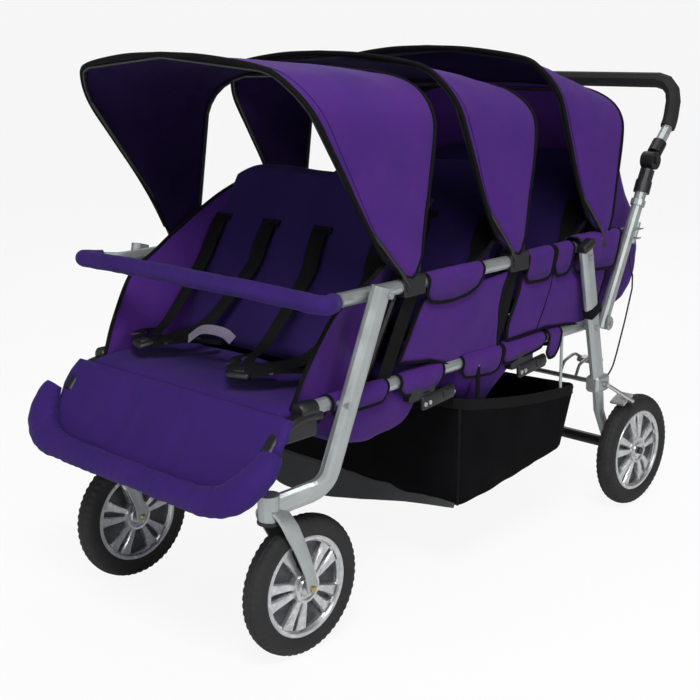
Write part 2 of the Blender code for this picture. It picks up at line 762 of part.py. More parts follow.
def back_pad(row):
    """The padded back, with a corded hem on the recline axis that reaches the back frame's tubes."""
    axis_y = link_y(row) + BACK_FOOT_Y
    pad = padded(BACK_FOOT_WIDTH, BACK_HEAD_WIDTH, BACK_LENGTH + BACK_START, BACK_THICK, 4)
    pad.matrix_world = (
        Matrix.Translation((0, axis_y, LOWER_Z)) @ Matrix.Rotation(math.radians(90 - BACK_ANGLE), 4, "X")
    )
    hem = rod((-HEM_REACH, axis_y, LOWER_Z), (HEM_REACH, axis_y, LOWER_Z), HEM_RADIUS, 10)
    return combined([raw(evaluated(pad)), hem])


def back_frame(row):
    """A bent tube inside the rails: up one side, under the seat's rear edge and up the other side."""
    inside = RAIL_RADIUS + SIDE_GAP + LINK_RADIUS
    top = Vector((UPPER_X - inside - 0.003, bracket_y(row), UPPER_Z))
    foot = Vector((LOWER_X - inside, link_y(row), LOWER_Z))
    lean = (top - foot) / RAIL_RISE
    corner = foot - lean * LINK_DROP
    mirrored = [Vector((-p.x, p.y, p.z)) for p in (corner, top)]
    path = bent([top, corner, *mirrored], 0.030, 4)
    parts = [tube(path, LINK_RADIUS, 8)]
    for at, rail in ((foot, LOWER_X - RAIL_RADIUS), (top, UPPER_X - BRACKET_IN)):
        for sign in SIDES.values():
            parts.append(rod((sign * at.x, at.y, at.z), (sign * (rail - SEAT_GAP), at.y, at.z), BOLT_RADIUS, 8))
    return combined(parts)


for row in range(ROWS):
    number = str(row + 1)
    node("seat_bar_" + number, seat_bar(row), BLACK)
    node("seat_cushion_" + number, seat_cushion(row), PURPLE)
    node("back_frame_" + number, back_frame(row), BLACK, "back_frame_" + number)
    node("backrest_pad_" + number, back_pad(row), PURPLE, "backrest_" + number)


def rear_cover():
    """The cloth bag behind the last row, a curved sheet from the backrest's head to under its foot."""
    foot = Vector((0, link_y(ROWS - 1) + BACK_FOOT_Y, LOWER_Z))
    lean = math.radians(BACK_ANGLE)
    up = Vector((0, math.sin(lean), math.cos(lean)))
    out = Vector((0, math.cos(lean), -math.sin(lean)))
    half_pad = BACK_THICK / 2
    wall = COVER_CLOTH / 2 + SEAT_GAP
    line = [
        foot + up * (BACK_LENGTH + BACK_START - 0.012) + out * (half_pad * 0.53 + wall),
        foot + up * BACK_LENGTH * 0.80 + out * (half_pad + 0.030),
        foot + up * BACK_LENGTH * 0.52 + out * (half_pad + 0.110),
        foot + up * BACK_LENGTH * 0.28 + out * (half_pad + 0.170),
        foot + up * BACK_LENGTH * 0.14 + out * (half_pad + 0.140),
        foot + up * BACK_LENGTH * 0.10 + out * (half_pad + 0.060),
        foot + up * BACK_LENGTH * 0.10 + out * (half_pad * 0.74 + wall),
    ]
    path = spline_through(line, 2)
    half = BACK_HEAD_WIDTH / 2 - 0.006
    made = bmesh.new()
    bmesh.ops.create_grid(made, x_segments=4, y_segments=len(path) - 1, size=1.0)
    for vert in made.verts:
        share = (vert.co.y + 1) / 2
        place = path[round(share * (len(path) - 1))]
        bow = 0.012 * (1 - vert.co.x ** 2) * math.sin(math.pi * share)
        vert.co = Vector((vert.co.x * half, place.y + bow, place.z))
    mesh = bpy.data.meshes.new("cover")
    made.to_mesh(mesh)
    made.free()
    sheet = raw(mesh)
    layer = sheet.modifiers.new("cloth", "SOLIDIFY")
    layer.thickness = COVER_CLOTH
    layer.offset = 0
    return sheet


node("rear_cover", rear_cover(), PURPLE, f"backrest_{ROWS}")


# Footrest: a tube frame hinged at the lower rails' front ends, and the padded panel with its lip

def footrest_points(offset=0.0):
    """The two ends of the panel's middle line, moved under the panel by an offset square to it."""
    corner = Vector((0, SEAT_FRONT_Y - 0.004, SEAT_TOP_Z - SEAT_THICK / 2))
    lip = Vector((0, FOOT_LIP_Y + FOOT_THICK, FOOT_LIP_Z))
    slope = (lip - corner).normalized()
    under = Vector((0, -slope.z, slope.y)) * offset
    return corner + slope * FOOT_START + under, lip + under


def footrest_frame():
    """A U of tube under the panel, with an eye at each end that turns on the first seat bar."""
    top, lip = footrest_points(FOOT_THICK / 2 + FOOT_TUBE_RADIUS + SEAT_GAP)
    far = top.lerp(lip, 0.80)
    hinge = Vector((FOOT_EYE_X, SEAT_FRONT_Y + SEAT_BAR_BACK, SEAT_BAR_Z))
    start = hinge + (Vector((FOOT_EYE_X, far.y, far.z)) - hinge).normalized() * SEAT_BAR_RADIUS * 1.3
    half = [start, Vector((FOOT_EYE_X, far.y, far.z))]
    path = bent([*half, *[Vector((-p.x, p.y, p.z)) for p in reversed(half)]], 0.025, 3)
    parts = [tube(path, FOOT_TUBE_RADIUS, 6)]
    holes = []
    for sign in SIDES.values():
        ends = [Vector((sign * FOOT_EYE_X + reach * FOOT_EYE_WIDTH / 2, hinge.y, hinge.z)) for reach in (-1, 1)]
        parts.append(rod(*ends, FOOT_EYE_RADIUS, 14))
        ends = [Vector((sign * FOOT_EYE_X + reach * FOOT_EYE_WIDTH, hinge.y, hinge.z)) for reach in (-1, 1)]
        holes.append(bore(*ends, SEAT_BAR_RADIUS + SEAT_GAP, 14))
    return combined(parts, holes)


def footrest_pad():
    """A quilted panel with a thick rolled lip along its free edge."""
    top, lip = footrest_points()
    slope = math.atan2(lip.z - top.z, lip.y - top.y)
    narrow = FOOT_HALF_WIDTH - HANGER_WIDTH / 2
    pad = padded(2 * narrow, 2 * FOOT_HALF_WIDTH, (lip - top).length, FOOT_THICK, 2)
    pad.matrix_world = Matrix.Translation(top) @ Matrix.Rotation(slope, 4, "X")
    roll = rod((-FOOT_HALF_WIDTH, lip.y, lip.z), (FOOT_HALF_WIDTH, lip.y, lip.z), FOOT_THICK, 14)
    return combined([raw(evaluated(pad)), roll])


node("footrest_frame", footrest_frame(), BLACK, "footrest")
node("footrest_pad", footrest_pad(), PURPLE, "footrest")


# Basket

def basket_block(inset, above):
    """The basket's outer block, or the space inside it, set in from its sides and its sloping floor."""
    slope = (BASKET_REAR_BASE - BASKET_FRONT_BASE) / (BASKET_REAR_Y - BASKET_FRONT_Y)
    made = bmesh.new()
    bmesh.ops.create_cube(made, size=2.0)
    for vert in made.verts:
        rear, up = vert.co.y > 0, vert.co.z > 0
        half = BASKET_HALF_WIDTH - inset - (0 if up else BASKET_TAPER)
        y = BASKET_REAR_Y - inset if rear else BASKET_FRONT_Y + inset
        base = BASKET_FRONT_BASE + slope * (y - BASKET_FRONT_Y) + inset * math.hypot(1, slope)
        z = basket_rim(y) + above if up else base
        vert.co = Vector((math.copysign(half, vert.co.x), y, z))
    standing = [e for e in made.edges if abs(e.verts[0].co.z - e.verts[1].co.z) > 0.1]
    bmesh.ops.bevel(
        made, geom=standing, offset=BASKET_CORNER - inset, segments=3, affect="EDGES", profile=0.5
    )
    mesh = bpy.data.meshes.new("basket")
    made.to_mesh(mesh)
    made.free()
    return raw(mesh)


def basket():
    return combined([basket_block(0.0, 0.0)], [basket_block(BASKET_WALL, BASKET_CORNER)])


node("basket", basket(), DARK_CLOTH)


# Side panels: cloth between the rails, with an opening behind each row's uprights

def side_panel(sign):
    slant = Vector((sign * (UPPER_X - LOWER_X), 0, RAIL_RISE))
    scale = slant.length / RAIL_RISE
    low = LOWER_Z + (RAIL_RADIUS + SEAT_GAP) / scale
    high = UPPER_Z - BRACKET_HEIGHT / 2 - SEAT_GAP

    def spot(y, z):
        return y, (z - LOWER_Z) * scale

    def link_at(row, z):
        return link_y(row) + LINK_SWING * (z - LOWER_Z) / RAIL_RISE

    foot = SEAT_FRONT_Y + 0.020
    outline = [
        spot(foot, low), spot(LOWER_REAR_Y - 0.060, low),
        spot(UPPER_REAR_Y - 0.090, high), spot(UPPER_FRONT_Y + 0.075, high),
        spot(UPPER_FRONT_Y + 0.010, high - 0.030), spot(foot + 0.030, low + 0.045),
    ]
    holes = []
    strip = 0.014
    for row in range(ROWS - 1):
        start, end = low + strip, high - strip
        holes.append([
            spot(link_at(row, start) + 0.004, start), spot(link_at(row, end) + 0.006, end),
            spot(link_at(row, end) + 0.046, end), spot(link_at(row, start) + 0.030, start),
        ])
    return plate([outline, *holes], 0.002, (sign * LOWER_X, 0, LOWER_Z), (0, 1, 0), slant)


for side, sign in SIDES.items():
    node("side_panel_" + side, side_panel(sign), PURPLE)


# Rear legs, rear axle and brake

def post_x(z):
    return rail_x(z, RAIL_RADIUS + POST_GAP + POST_THICK / 2)


def rear_post(sign):
    """Oval upper post, clamp casting, lower strut and the eye that holds the rear tube."""
    foot_z = CLAMP_Z - CLAMP_HEIGHT * 0.3
    top = Vector((sign * post_x(POST_TOP_Z), post_y(POST_TOP_Z), POST_TOP_Z))
    foot = Vector((sign * post_x(foot_z), post_y(foot_z), foot_z))
    upper = oval_tube([top, foot], POST_WIDTH, POST_THICK)
    clamp = Vector((sign * post_x(CLAMP_Z), post_y(CLAMP_Z), CLAMP_Z))
    reach = Vector((CLAMP_THICK / 2, CLAMP_WIDTH / 2, CLAMP_HEIGHT / 2))
    casting = box(clamp - reach, clamp + reach, 0.006)
    eye = Vector((sign * EYE_X, REAR_AXLE_Y, WHEEL_RADIUS))
    knee = clamp.lerp(eye, 0.45)
    knee.x = sign * (REAR_TRACK / 2 - TYRE_WIDTH / 2 - STRUT_CLEAR - STRUT_RADIUS)
    strut = tube([clamp, knee, eye], STRUT_RADIUS, 10)
    ring = rod(eye - Vector((EYE_WIDTH / 2, 0, 0)), eye + Vector((EYE_WIDTH / 2, 0, 0)), EYE_RADIUS, 16)
    parts = [upper, casting, strut, ring]
    for z in (LOWER_Z, UPPER_Z - 0.020):
        inner = post_x(z) if z > LOWER_Z else LOWER_X + RAIL_RADIUS + SEAT_GAP
        outer = post_x(z) + POST_THICK / 2 + BOLT_PROUD
        parts.append(rod((sign * inner, post_y(z), z), (sign * outer, post_y(z), z), BOLT_RADIUS, 10))
    bores = [
        bore(eye - Vector((0.05, 0, 0)), eye + Vector((0.05, 0, 0)), REAR_TUBE_RADIUS + SEAT_GAP, 16),
        bore(clamp - Vector((0.03, 0, 0)), clamp + Vector((0.03, 0, 0)), BRAKE_ROD_RADIUS + SEAT_GAP, 10),
    ]
    return combined(parts, bores)


def rear_axle():
    """The rear tube, stepped down at each end to an axle, with a nut outside each wheel."""
    shoulder = REAR_TRACK / 2 - HUB_WIDTH / 2 - RUN_GAP
    nut = REAR_TRACK / 2 + HUB_WIDTH / 2 + RUN_GAP
    half = [
        (shoulder, REAR_TUBE_RADIUS), (shoulder, AXLE_RADIUS), (nut, AXLE_RADIUS),
        (nut, NUT_RADIUS), (nut + BOLT_PROUD, NUT_RADIUS), (nut + BOLT_PROUD, 0),
    ]
    profile = [(-x, r) for x, r in reversed(half)] + half
    return turned(profile, (0, REAR_AXLE_Y, WHEEL_RADIUS), 14)


def brake_bar():
    """A cross rod through both castings, with a crank and shoe at each end and a foot pedal."""
    centre = Vector((0, post_y(CLAMP_Z), CLAMP_Z))
    outer = post_x(CLAMP_Z) + CLAMP_THICK / 2 + RUN_GAP
    reach = Vector((outer + 2 * CRANK_RADIUS + 0.001, 0, 0))
    parts = [tube([centre - reach, centre + reach], BRAKE_ROD_RADIUS, 8)]
    lean = math.radians(SHOE_ANGLE)
    wheel = Vector((0, REAR_AXLE_Y, WHEEL_RADIUS))
    out = Vector((0, -math.sin(lean), math.cos(lean)))
    contact = wheel + out * (WHEEL_RADIUS + SHOE_CLEAR + SHOE_THICK / 2)
    for sign in SIDES.values():
        arm_x = sign * (outer + CRANK_RADIUS + 0.001)
        shoe_x = sign * REAR_TRACK / 2
        start = Vector((arm_x, centre.y, centre.z))
        end = Vector((arm_x, contact.y, contact.z))
        parts.append(tube([start, end], CRANK_RADIUS, 6))
        made = bmesh.new()
        bmesh.ops.create_cube(made, size=1.0)
        bmesh.ops.scale(made, vec=(TYRE_WIDTH * 0.9, SHOE_LENGTH, SHOE_THICK), verts=made.verts)
        along = Vector((0, math.cos(lean), math.sin(lean)))
        turn = Matrix((Vector((1, 0, 0)), along, out)).transposed().to_4x4()
        reach = Matrix.Translation((shoe_x, contact.y, contact.z)) @ turn
        bmesh.ops.transform(made, matrix=reach, verts=made.verts)
        mesh = bpy.data.meshes.new("shoe")
        made.to_mesh(mesh)
        made.free()
        parts.append(raw(mesh))
        parts.append(rod((arm_x, end.y, end.z), (shoe_x, end.y, end.z), CRANK_RADIUS, 6))
    pedal_path = [centre + Vector(step) for step in PEDAL_ARM]
    for offset in (-0.5, 0.5):
        shift = Vector((PEDAL_X + offset * PEDAL_WIDTH * 0.8, 0, 0))
        parts.append(tube([p + shift for p in bent(pedal_path, 0.018, 2)], 0.004, 6))
    end = pedal_path[-1]
    low = (PEDAL_X - PEDAL_WIDTH / 2, end.y - 0.022, end.z - 0.005)
    high = (PEDAL_X + PEDAL_WIDTH / 2, end.y + 0.016, end.z + 0.006)
    parts.append(box(low, high, 0.003))
    return combined(parts)


for side, sign in SIDES.items():
    node("rear_post_" + side, rear_post(sign), SILVER, "rear_legs")
node("rear_axle", rear_axle(), BLACK, "rear_legs")
node("brake_bar", brake_bar(), STEEL, "brake")


# Upper frame: two rails, the bumper bar and the canopies' fixed frames

def upper_rail(sign):
    ends = [(sign * UPPER_X, y, UPPER_Z) for y in (UPPER_FRONT_Y, UPPER_REAR_Y)]
    return tube(ends, RAIL_RADIUS, 12)


def bumper_bar():
    """The sleeved bar in front of the first row. Its bare ends meet the rails."""
    start = Vector((UPPER_X, UPPER_FRONT_Y - SEAT_GAP, UPPER_Z))
    elbow = Vector((UPPER_X, UPPER_FRONT_Y - 0.014, UPPER_Z))
    corner = Vector((BUMPER_HALF_WIDTH, BUMPER_Y, UPPER_Z + BUMPER_RISE))
    bow = Vector((BUMPER_HALF_WIDTH * 0.5, BUMPER_Y - 0.004, UPPER_Z + BUMPER_RISE + 0.004))
    first = elbow + (corner - elbow) * 0.30
    half = [first, corner, bow]
    path = bent([*half, *[Vector((-p.x, p.y, p.z)) for p in reversed(half)]], BUMPER_BEND, 3)
    parts = [tube(path, BUMPER_RADIUS, 8)]
    for sign in SIDES.values():
        stub = [Vector((p.x * sign, p.y, p.z)) for p in (start, elbow, elbow + (corner - elbow) * 0.45)]
        parts.append(tube(bent(stub, 0.03, 2), RAIL_RADIUS, 10))
    return combined(parts)


# Half bows from the foot to the middle of the top, as shares of the half width and of the height
REAR_OUTLINE = (
    (1.0, 0.0), (1.0, 0.30), (1.005, 0.66), (0.975, 0.80),
    (0.86, 0.90), (0.64, 0.965), (0.25, 0.995), (0.0, 1.0),
)
FRONT_OUTLINE = (
    (1.0, 0.0), (0.95, 0.30), (0.965, 0.60), (0.97, 0.78),
    (0.88, 0.90), (0.76, 0.95), (0.36, 0.99), (0.0, 1.0),
)


def bow_outline(blend, steps=2):
    """Half a bow as (share of half width, share of height) points from its foot to the top's middle."""
    mixed = [
        Vector((r[0] + (f[0] - r[0]) * blend, r[1] + (f[1] - r[1]) * blend, 0))
        for r, f in zip(REAR_OUTLINE, FRONT_OUTLINE)
    ]
    return spline_through(mixed, steps)


def bow_path(row, blend, lift=0.0):
    """A whole bow from the left foot over the top to the right one. Blend 0 is the rear bow, 1 the front."""
    def mix(rear, front):
        return rear[row] + (front[row] - rear[row]) * blend

    angle = math.radians(mix(REAR_BOW_ANGLE, FRONT_BOW_ANGLE))
    height = mix(REAR_BOW_HEIGHT, FRONT_BOW_HEIGHT)
    foot_y = bracket_y(row) + BOW_SPACING * (0.5 - blend)
    up = Vector((0, -math.sin(angle), math.cos(angle)))
    square = Vector((0, math.cos(angle), math.sin(angle)))
    right = [
        Vector((share.x * CANOPY_HALF_WIDTH, foot_y, UPPER_Z)) + up * share.y * height + square * lift
        for share in bow_outline(blend)
    ]
    left = [Vector((-p.x, p.y, p.z)) for p in right]
    return left + list(reversed(right[:-1]))


def bracket_box(row, sign):
    y = bracket_y(row)
    x = sign * UPPER_X
    near, far = sorted((x - sign * BRACKET_IN, x + sign * BRACKET_OUT))
    low = (near, y - BRACKET_LENGTH / 2, UPPER_Z - BRACKET_HEIGHT / 2)
    high = (far, y + BRACKET_LENGTH / 2, UPPER_Z + BRACKET_HEIGHT / 2)
    return box(low, high, 0.003)


def canopy_frame(row):
    """The rear bow and the two brackets that clasp the rails."""
    brackets = [bracket_box(row, sign) for sign in SIDES.values()]
    bores = [
        bore(
            (sign * UPPER_X, bracket_y(row) - BRACKET_LENGTH, UPPER_Z),
            (sign * UPPER_X, bracket_y(row) + BRACKET_LENGTH, UPPER_Z), RAIL_RADIUS + SEAT_GAP, 10,
        )
        for sign in SIDES.values()
    ]
    path = bow_path(row, 0.0)
    clasp_top = UPPER_Z + BRACKET_HEIGHT / 2
    sunk = (clasp_top - 0.004 - path[0].z) / (path[1].z - path[0].z)
    ends = path[0].lerp(path[1], sunk), path[-1].lerp(path[-2], sunk)
    bow = tube(thinned([ends[0], *path[1:-1], ends[1]]), BOW_RADIUS, 6)
    feet = [rod(end, (end.x, end.y, clasp_top + 0.010), BOW_RADIUS + 0.002, 10) for end in ends]
    return combined([*brackets, bow, *feet], bores)


def front_bow(row):
    """The swinging bow, with a round tab at each foot outside the bracket."""
    path = bow_path(row, 1.0)
    tab_in = UPPER_X + BRACKET_OUT + SEAT_GAP
    tab_x = tab_in + BOW_TAB_THICK / 2
    y, z = bracket_y(row) - BOW_SPACING / 2, UPPER_Z
    skip = 2
    inner = path[skip: len(path) - skip]
    angle = math.radians(FRONT_BOW_ANGLE[row])
    up = Vector((0, -math.sin(angle), math.cos(angle)))
    knee = Vector((tab_x, y, z)) + up * (BRACKET_HEIGHT / 2 + 0.012)
    parts = []
    start = [Vector((-tab_x, y, z)), Vector((-knee.x, knee.y, knee.z))]
    end = [knee, Vector((tab_x, y, z))]
    parts.append(tube(thinned([*start, *inner, *end]), BOW_RADIUS * 0.85, 6))
    for sign in SIDES.values():
        parts.append(rod((sign * tab_in, y, z), (sign * (tab_in + BOW_TAB_THICK), y, z), BOW_TAB_RADIUS, 14))
    whole = combined(parts)
    keep_out = []
    for sign in SIDES.values():
        xs = sorted((sign * (UPPER_X - 0.05), sign * tab_in))
        keep_out.append(box((xs[0], y - 0.03, z - 0.03), (xs[1], y + 0.03, z + BRACKET_HEIGHT / 2 + 0.004)))
    return combined([whole], keep_out)


def canopy_cloth(row):
    """One continuous sheet from the rear bow to the front bow, sagging a little between them."""
    across, along = 13, 4
    edge = BOW_RADIUS * math.cos(math.pi / 6) + SEAT_GAP + CLOTH / 2
    made = bmesh.new()
    bmesh.ops.create_grid(made, x_segments=across, y_segments=along, size=1.0)
    rear, front = bow_path(row, 0.0, -edge), bow_path(row, 1.0, edge)
    first = 1

    def at(path, share):
        spot = first + share * (len(path) - 1 - 2 * first)
        index = min(int(spot), len(path) - 2)
        return path[index].lerp(path[index + 1], spot - index)

    hinge = Vector((0, bracket_y(row), UPPER_Z))
    for vert in made.verts:
        share, blend = (vert.co.x + 1) / 2, (vert.co.y + 1) / 2
        a, b = at(rear, share), at(front, share)
        flat = a.lerp(b, blend)
        radius = (a - hinge).length * (1 - blend) + (b - hinge).length * blend
        round_out = hinge + (flat - hinge).normalized() * radius
        vert.co = flat.lerp(round_out, 0.12)
    mesh = bpy.data.meshes.new("canopy")
    made.to_mesh(mesh)
    made.free()
    sheet = raw(mesh)
    wall = sheet.modifiers.new("cloth", "SOLIDIFY")
    wall.thickness = CLOTH
    wall.offset = 0
    return sheet


for side, sign in SIDES.items():
    node("upper_rail_" + side, upper_rail(sign), SILVER, "upper_frame")
node("bumper_bar", bumper_bar(), PURPLE, "upper_frame")
for row in range(ROWS):
    number = str(row + 1)
    node("canopy_frame_" + number, canopy_frame(row), BLACK, "upper_frame")
    node("front_bow_" + number, front_bow(row), BLACK, "canopy_" + number)
    node("canopy_cloth_" + number, canopy_cloth(row), PURPLE, "upper_frame")


# Handle

def handle_point(along, sign):
    """A point on a handle tube's axis, a distance up from the knuckle."""
    knuckle = Vector((sign * handle_x(LOWER_Z), KNUCKLE_Y, LOWER_Z))
    hub = Vector((sign * HANDLE_X, ADJUSTER_Y, ADJUSTER_Z))
    return knuckle + (hub - knuckle).normalized() * along


def handle_length(sign):
    return (Vector((sign * HANDLE_X, ADJUSTER_Y, ADJUSTER_Z)) - handle_point(0, sign)).length


def handle_tube(sign):
    """The lower handle tube with its pin hole, its collar, and the lock barrel clipped behind it."""
    end = handle_length(sign) - ADJUSTER_RADIUS - SOCKET_LENGTH - SEAT_GAP
    shaft = tube([handle_point(-0.014, sign), handle_point(end, sign)], HANDLE_RADIUS, 12)
    collar = rod(handle_point(end - 0.055, sign), handle_point(end - 0.041, sign), HANDLE_RADIUS + 0.0035, 12)
    behind = Vector((0, 1, 0)) * (HANDLE_RADIUS + BARREL_RADIUS + 0.0015)
    low = handle_point(BARREL_ALONG - BARREL_LENGTH / 2, sign) + behind
    high = handle_point(BARREL_ALONG + BARREL_LENGTH / 2, sign) + behind
    barrel = rod(low, high, BARREL_RADIUS, 10)
    parts = [shaft, collar, barrel]
    for share in (0.28, 0.72):
        spot = handle_point(BARREL_ALONG + (share - 0.5) * BARREL_LENGTH, sign)
        for beside in (-CLIP_REACH, CLIP_REACH):
            corner = spot + Vector((beside, -0.012, 0))
            parts.append(rod(corner, corner + Vector((0, 0.040, 0)), CLIP_WIRE, 6))
        behind_spot, cross = spot + Vector((0, 0.020, 0)), Vector((CLIP_REACH, 0, 0))
        parts.append(rod(behind_spot - cross, behind_spot + cross, CLIP_WIRE * 1.3, 6))
    ends = [(sign * (handle_x(LOWER_Z) + reach), KNUCKLE_Y, LOWER_Z) for reach in (-0.05, 0.05)]
    hole = bore(*ends, KNUCKLE_PIN + SEAT_GAP, 10)
    return combined(parts, [hole])


def adjuster(sign, side, direction):
    """One half of a tooth joint: a disc beside the other half's disc, with a socket for its tube."""
    hub = Vector((sign * HANDLE_X, ADJUSTER_Y, ADJUSTER_Z))
    near, far = sorted((hub.x + sign * side * SEAT_GAP / 2, hub.x + sign * side * ADJUSTER_HALF))
    disc = rod((near, hub.y, hub.z), (far, hub.y, hub.z), ADJUSTER_RADIUS, 18)
    start = hub + direction * (ADJUSTER_RADIUS + 0.0015)
    end = hub + direction * (ADJUSTER_RADIUS + SOCKET_LENGTH)
    socket = rod(start, end, SOCKET_RADIUS, 12)
    middle = Vector(((near + far) / 2, hub.y, hub.z))
    neck = rod(middle, middle + direction * (ADJUSTER_RADIUS + 0.006), ADJUSTER_HALF * 0.46, 10)
    return [disc, socket, neck]


BAR_RISE = Vector((0, GRIP_REAR_Y - GRIP_RADIUS - ADJUSTER_Y, GRIP_TOP_Z - GRIP_RADIUS - ADJUSTER_Z))
ELBOW = Vector((0, BAR_RISE.y * 0.80, BAR_RISE.z * 0.46))


def bar_path():
    """The handle bar's middle line, from the right socket over the grip to the left socket."""
    hub = Vector((HANDLE_X, ADJUSTER_Y, ADJUSTER_Z))
    start = hub + ELBOW.normalized() * (ADJUSTER_RADIUS + SOCKET_LENGTH + SEAT_GAP)
    elbow = hub + ELBOW
    top = hub + BAR_RISE
    half = [start, elbow, top]
    return bent([*half, *[Vector((-p.x, p.y, p.z)) for p in reversed(half)]], GRIP_BEND, 3)


def trimmed(path, length):
    """The path without its first and last stretch of a length."""
    def cut(points):
        left = length
        for index, (one, two) in enumerate(zip(points, points[1:])):
            step = (two - one).length
            if step >= left:
                return [one.lerp(two, left / step), *points[index + 1:]]
            left -= step
        return points
    return list(reversed(cut(list(reversed(cut(path))))))


for side, sign in SIDES.items():
    node("handle_tube_" + side, handle_tube(sign), SILVER, "handle")
    down = (handle_point(0, sign) - Vector((sign * HANDLE_X, ADJUSTER_Y, ADJUSTER_Z))).normalized()
    node("adjuster_base_" + side, combined(adjuster(sign, -1, down)), BLACK, "handle")
    face = sign * (HANDLE_X + ADJUSTER_HALF)
    depth = BUTTON_LENGTH + 0.001
    well = bore(
        (face - sign * depth, ADJUSTER_Y, ADJUSTER_Z), (face + sign * 0.01, ADJUSTER_Y, ADJUSTER_Z),
        BUTTON_RADIUS + SEAT_GAP, 12,
    )
    node("adjuster_cap_" + side, combined(adjuster(sign, 1, ELBOW.normalized()), [well]), BLACK, "handle_bar")
    inner_end = face + sign * (BUTTON_PROUD - BUTTON_LENGTH)
    ends = [(x, ADJUSTER_Y, ADJUSTER_Z) for x in (inner_end, face + sign * BUTTON_PROUD)]
    node("button_" + side, rod(*ends, BUTTON_RADIUS, 12), BLACK, "button_" + side)
node("handle_bar", tube(bar_path(), BAR_RADIUS, 8), SILVER, "handle_bar")
foam_core = tube(bar_path(), BAR_RADIUS + SEAT_GAP, 8)
foam = combined([tube(trimmed(bar_path(), GRIP_END), GRIP_RADIUS, 8)], [foam_core])
node("handle_grip", foam, FOAM, "handle_bar")


# Cables from the lock barrels to the clamp castings

def cable(sign):
    behind = Vector((0, 1, 0)) * (HANDLE_RADIUS + BARREL_RADIUS + 0.0015)
    start = handle_point(BARREL_ALONG - BARREL_LENGTH / 2 - SEAT_GAP, sign) + behind
    end = Vector((sign * post_x(CLAMP_Z), post_y(CLAMP_Z) + CLAMP_WIDTH / 2 + SEAT_GAP, CLAMP_Z + 0.006))
    down = [start + Vector(step) for step in ((0, -0.006, -0.020), (0, 0.004, -0.060), (0, 0.014, -0.110))]
    round_to = [end + Vector(step) for step in ((0, 0.052, 0.052), (0, 0.030, 0.014), (0, 0.010, 0.001))]
    return tube(spline_through([start, *down, *round_to, end], 2), CABLE_RADIUS, 6)


for side, sign in SIDES.items():
    node("lock_cable_" + side, cable(sign), BLACK)

for leftover in list(cutters.objects):
    leftover.hide_render = True
    leftover.display_type = "WIRE"

faces = sum(len(p.data.polygons) for p in model.objects if p.type == "MESH")
print("pieces", sum(p.type == "MESH" for p in model.objects), "faces", faces)
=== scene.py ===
# %% [markdown]
# # A six-seat folding stroller, dressed around its CAD frame
#
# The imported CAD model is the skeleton: every rail, wheel and joint is already where it belongs. This
# lesson adds what the skeleton lacks, which is cloth, seams, straps, treads, bolts and believable
# surfaces. Lengths are metres. The front faces -Y, +Z is up, and the near side in the photograph is +X.

# %% Load the frame
import math
from contextlib import contextmanager

import bmesh
import bpy
from mathutils import Matrix, Vector, noise


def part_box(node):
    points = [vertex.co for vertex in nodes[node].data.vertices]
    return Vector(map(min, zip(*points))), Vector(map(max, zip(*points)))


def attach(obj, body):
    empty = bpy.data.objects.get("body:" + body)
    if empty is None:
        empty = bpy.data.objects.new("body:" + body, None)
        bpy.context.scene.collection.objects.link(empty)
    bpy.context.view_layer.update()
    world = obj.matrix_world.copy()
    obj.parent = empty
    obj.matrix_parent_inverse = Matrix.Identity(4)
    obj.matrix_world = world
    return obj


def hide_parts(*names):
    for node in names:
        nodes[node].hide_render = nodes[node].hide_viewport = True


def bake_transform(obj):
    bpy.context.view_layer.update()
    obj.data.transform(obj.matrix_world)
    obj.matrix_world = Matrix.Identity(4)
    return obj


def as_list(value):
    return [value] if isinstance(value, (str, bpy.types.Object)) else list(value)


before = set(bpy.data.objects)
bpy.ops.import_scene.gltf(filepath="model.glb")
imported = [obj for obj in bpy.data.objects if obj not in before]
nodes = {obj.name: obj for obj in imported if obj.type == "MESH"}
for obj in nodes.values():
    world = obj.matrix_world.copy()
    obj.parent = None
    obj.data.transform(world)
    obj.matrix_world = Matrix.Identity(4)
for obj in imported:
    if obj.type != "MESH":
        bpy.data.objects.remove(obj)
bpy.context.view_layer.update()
scene = bpy.context.scene
SIDES = {"left": -1, "right": 1}
ROWS = (0, 1, 2)


# %% [markdown]
# ## Shader maths as plain expressions
#
# A node tree is easier to read as arithmetic. One small class wraps a socket, and an expression such as
# `warp * weft * 0.5 + 0.5` then adds the Math nodes that it needs. Every other node comes from the method
# `add`.

# %% Socket wrapper
class Link:
    """A node socket that takes part in Python arithmetic."""

    def __init__(self, tree, socket=None):
        self.tree = tree
        self.socket = socket

    def add(self, kind, settings=None, out=0, **values):
        """Adds a node of a kind, sets its settings, then its inputs, and gives an output."""
        made = self.tree.nodes.new(kind)
        for name, value in (settings or {}).items():
            setattr(made, name, value)
        for name, value in values.items():
            key = int(name[1:]) if name[0] == "i" and name[1:].isdigit() else name.replace("_", " ")
            socket = made.inputs[key]
            if isinstance(value, Link):
                self.tree.links.new(value.socket, socket)
            else:
                socket.default_value = value
        return Link(self.tree, made.outputs[out])

    def maths(self, operation, *others):
        values = {f"i{n + 1}": value for n, value in enumerate(others)}
        return self.add("ShaderNodeMath", {"operation": operation}, i0=self, **values)

    def __add__(self, other):
        return self.maths("ADD", other)

    def __sub__(self, other):
        return self.maths("SUBTRACT", other)

    def __rsub__(self, other):
        return self.add("ShaderNodeMath", {"operation": "SUBTRACT"}, i0=other, i1=self)

    def __mul__(self, other):
        return self.maths("MULTIPLY", other)

    __radd__ = __add__
    __rmul__ = __mul__

    def ranged(self, low, high, to_low=0.0, to_high=1.0):
        """The value moved from one range to another and held inside it."""
        return self.add(
            "ShaderNodeMapRange", {"clamp": True}, Value=self,
            From_Min=low, From_Max=high, To_Min=to_low, To_Max=to_high,
        )


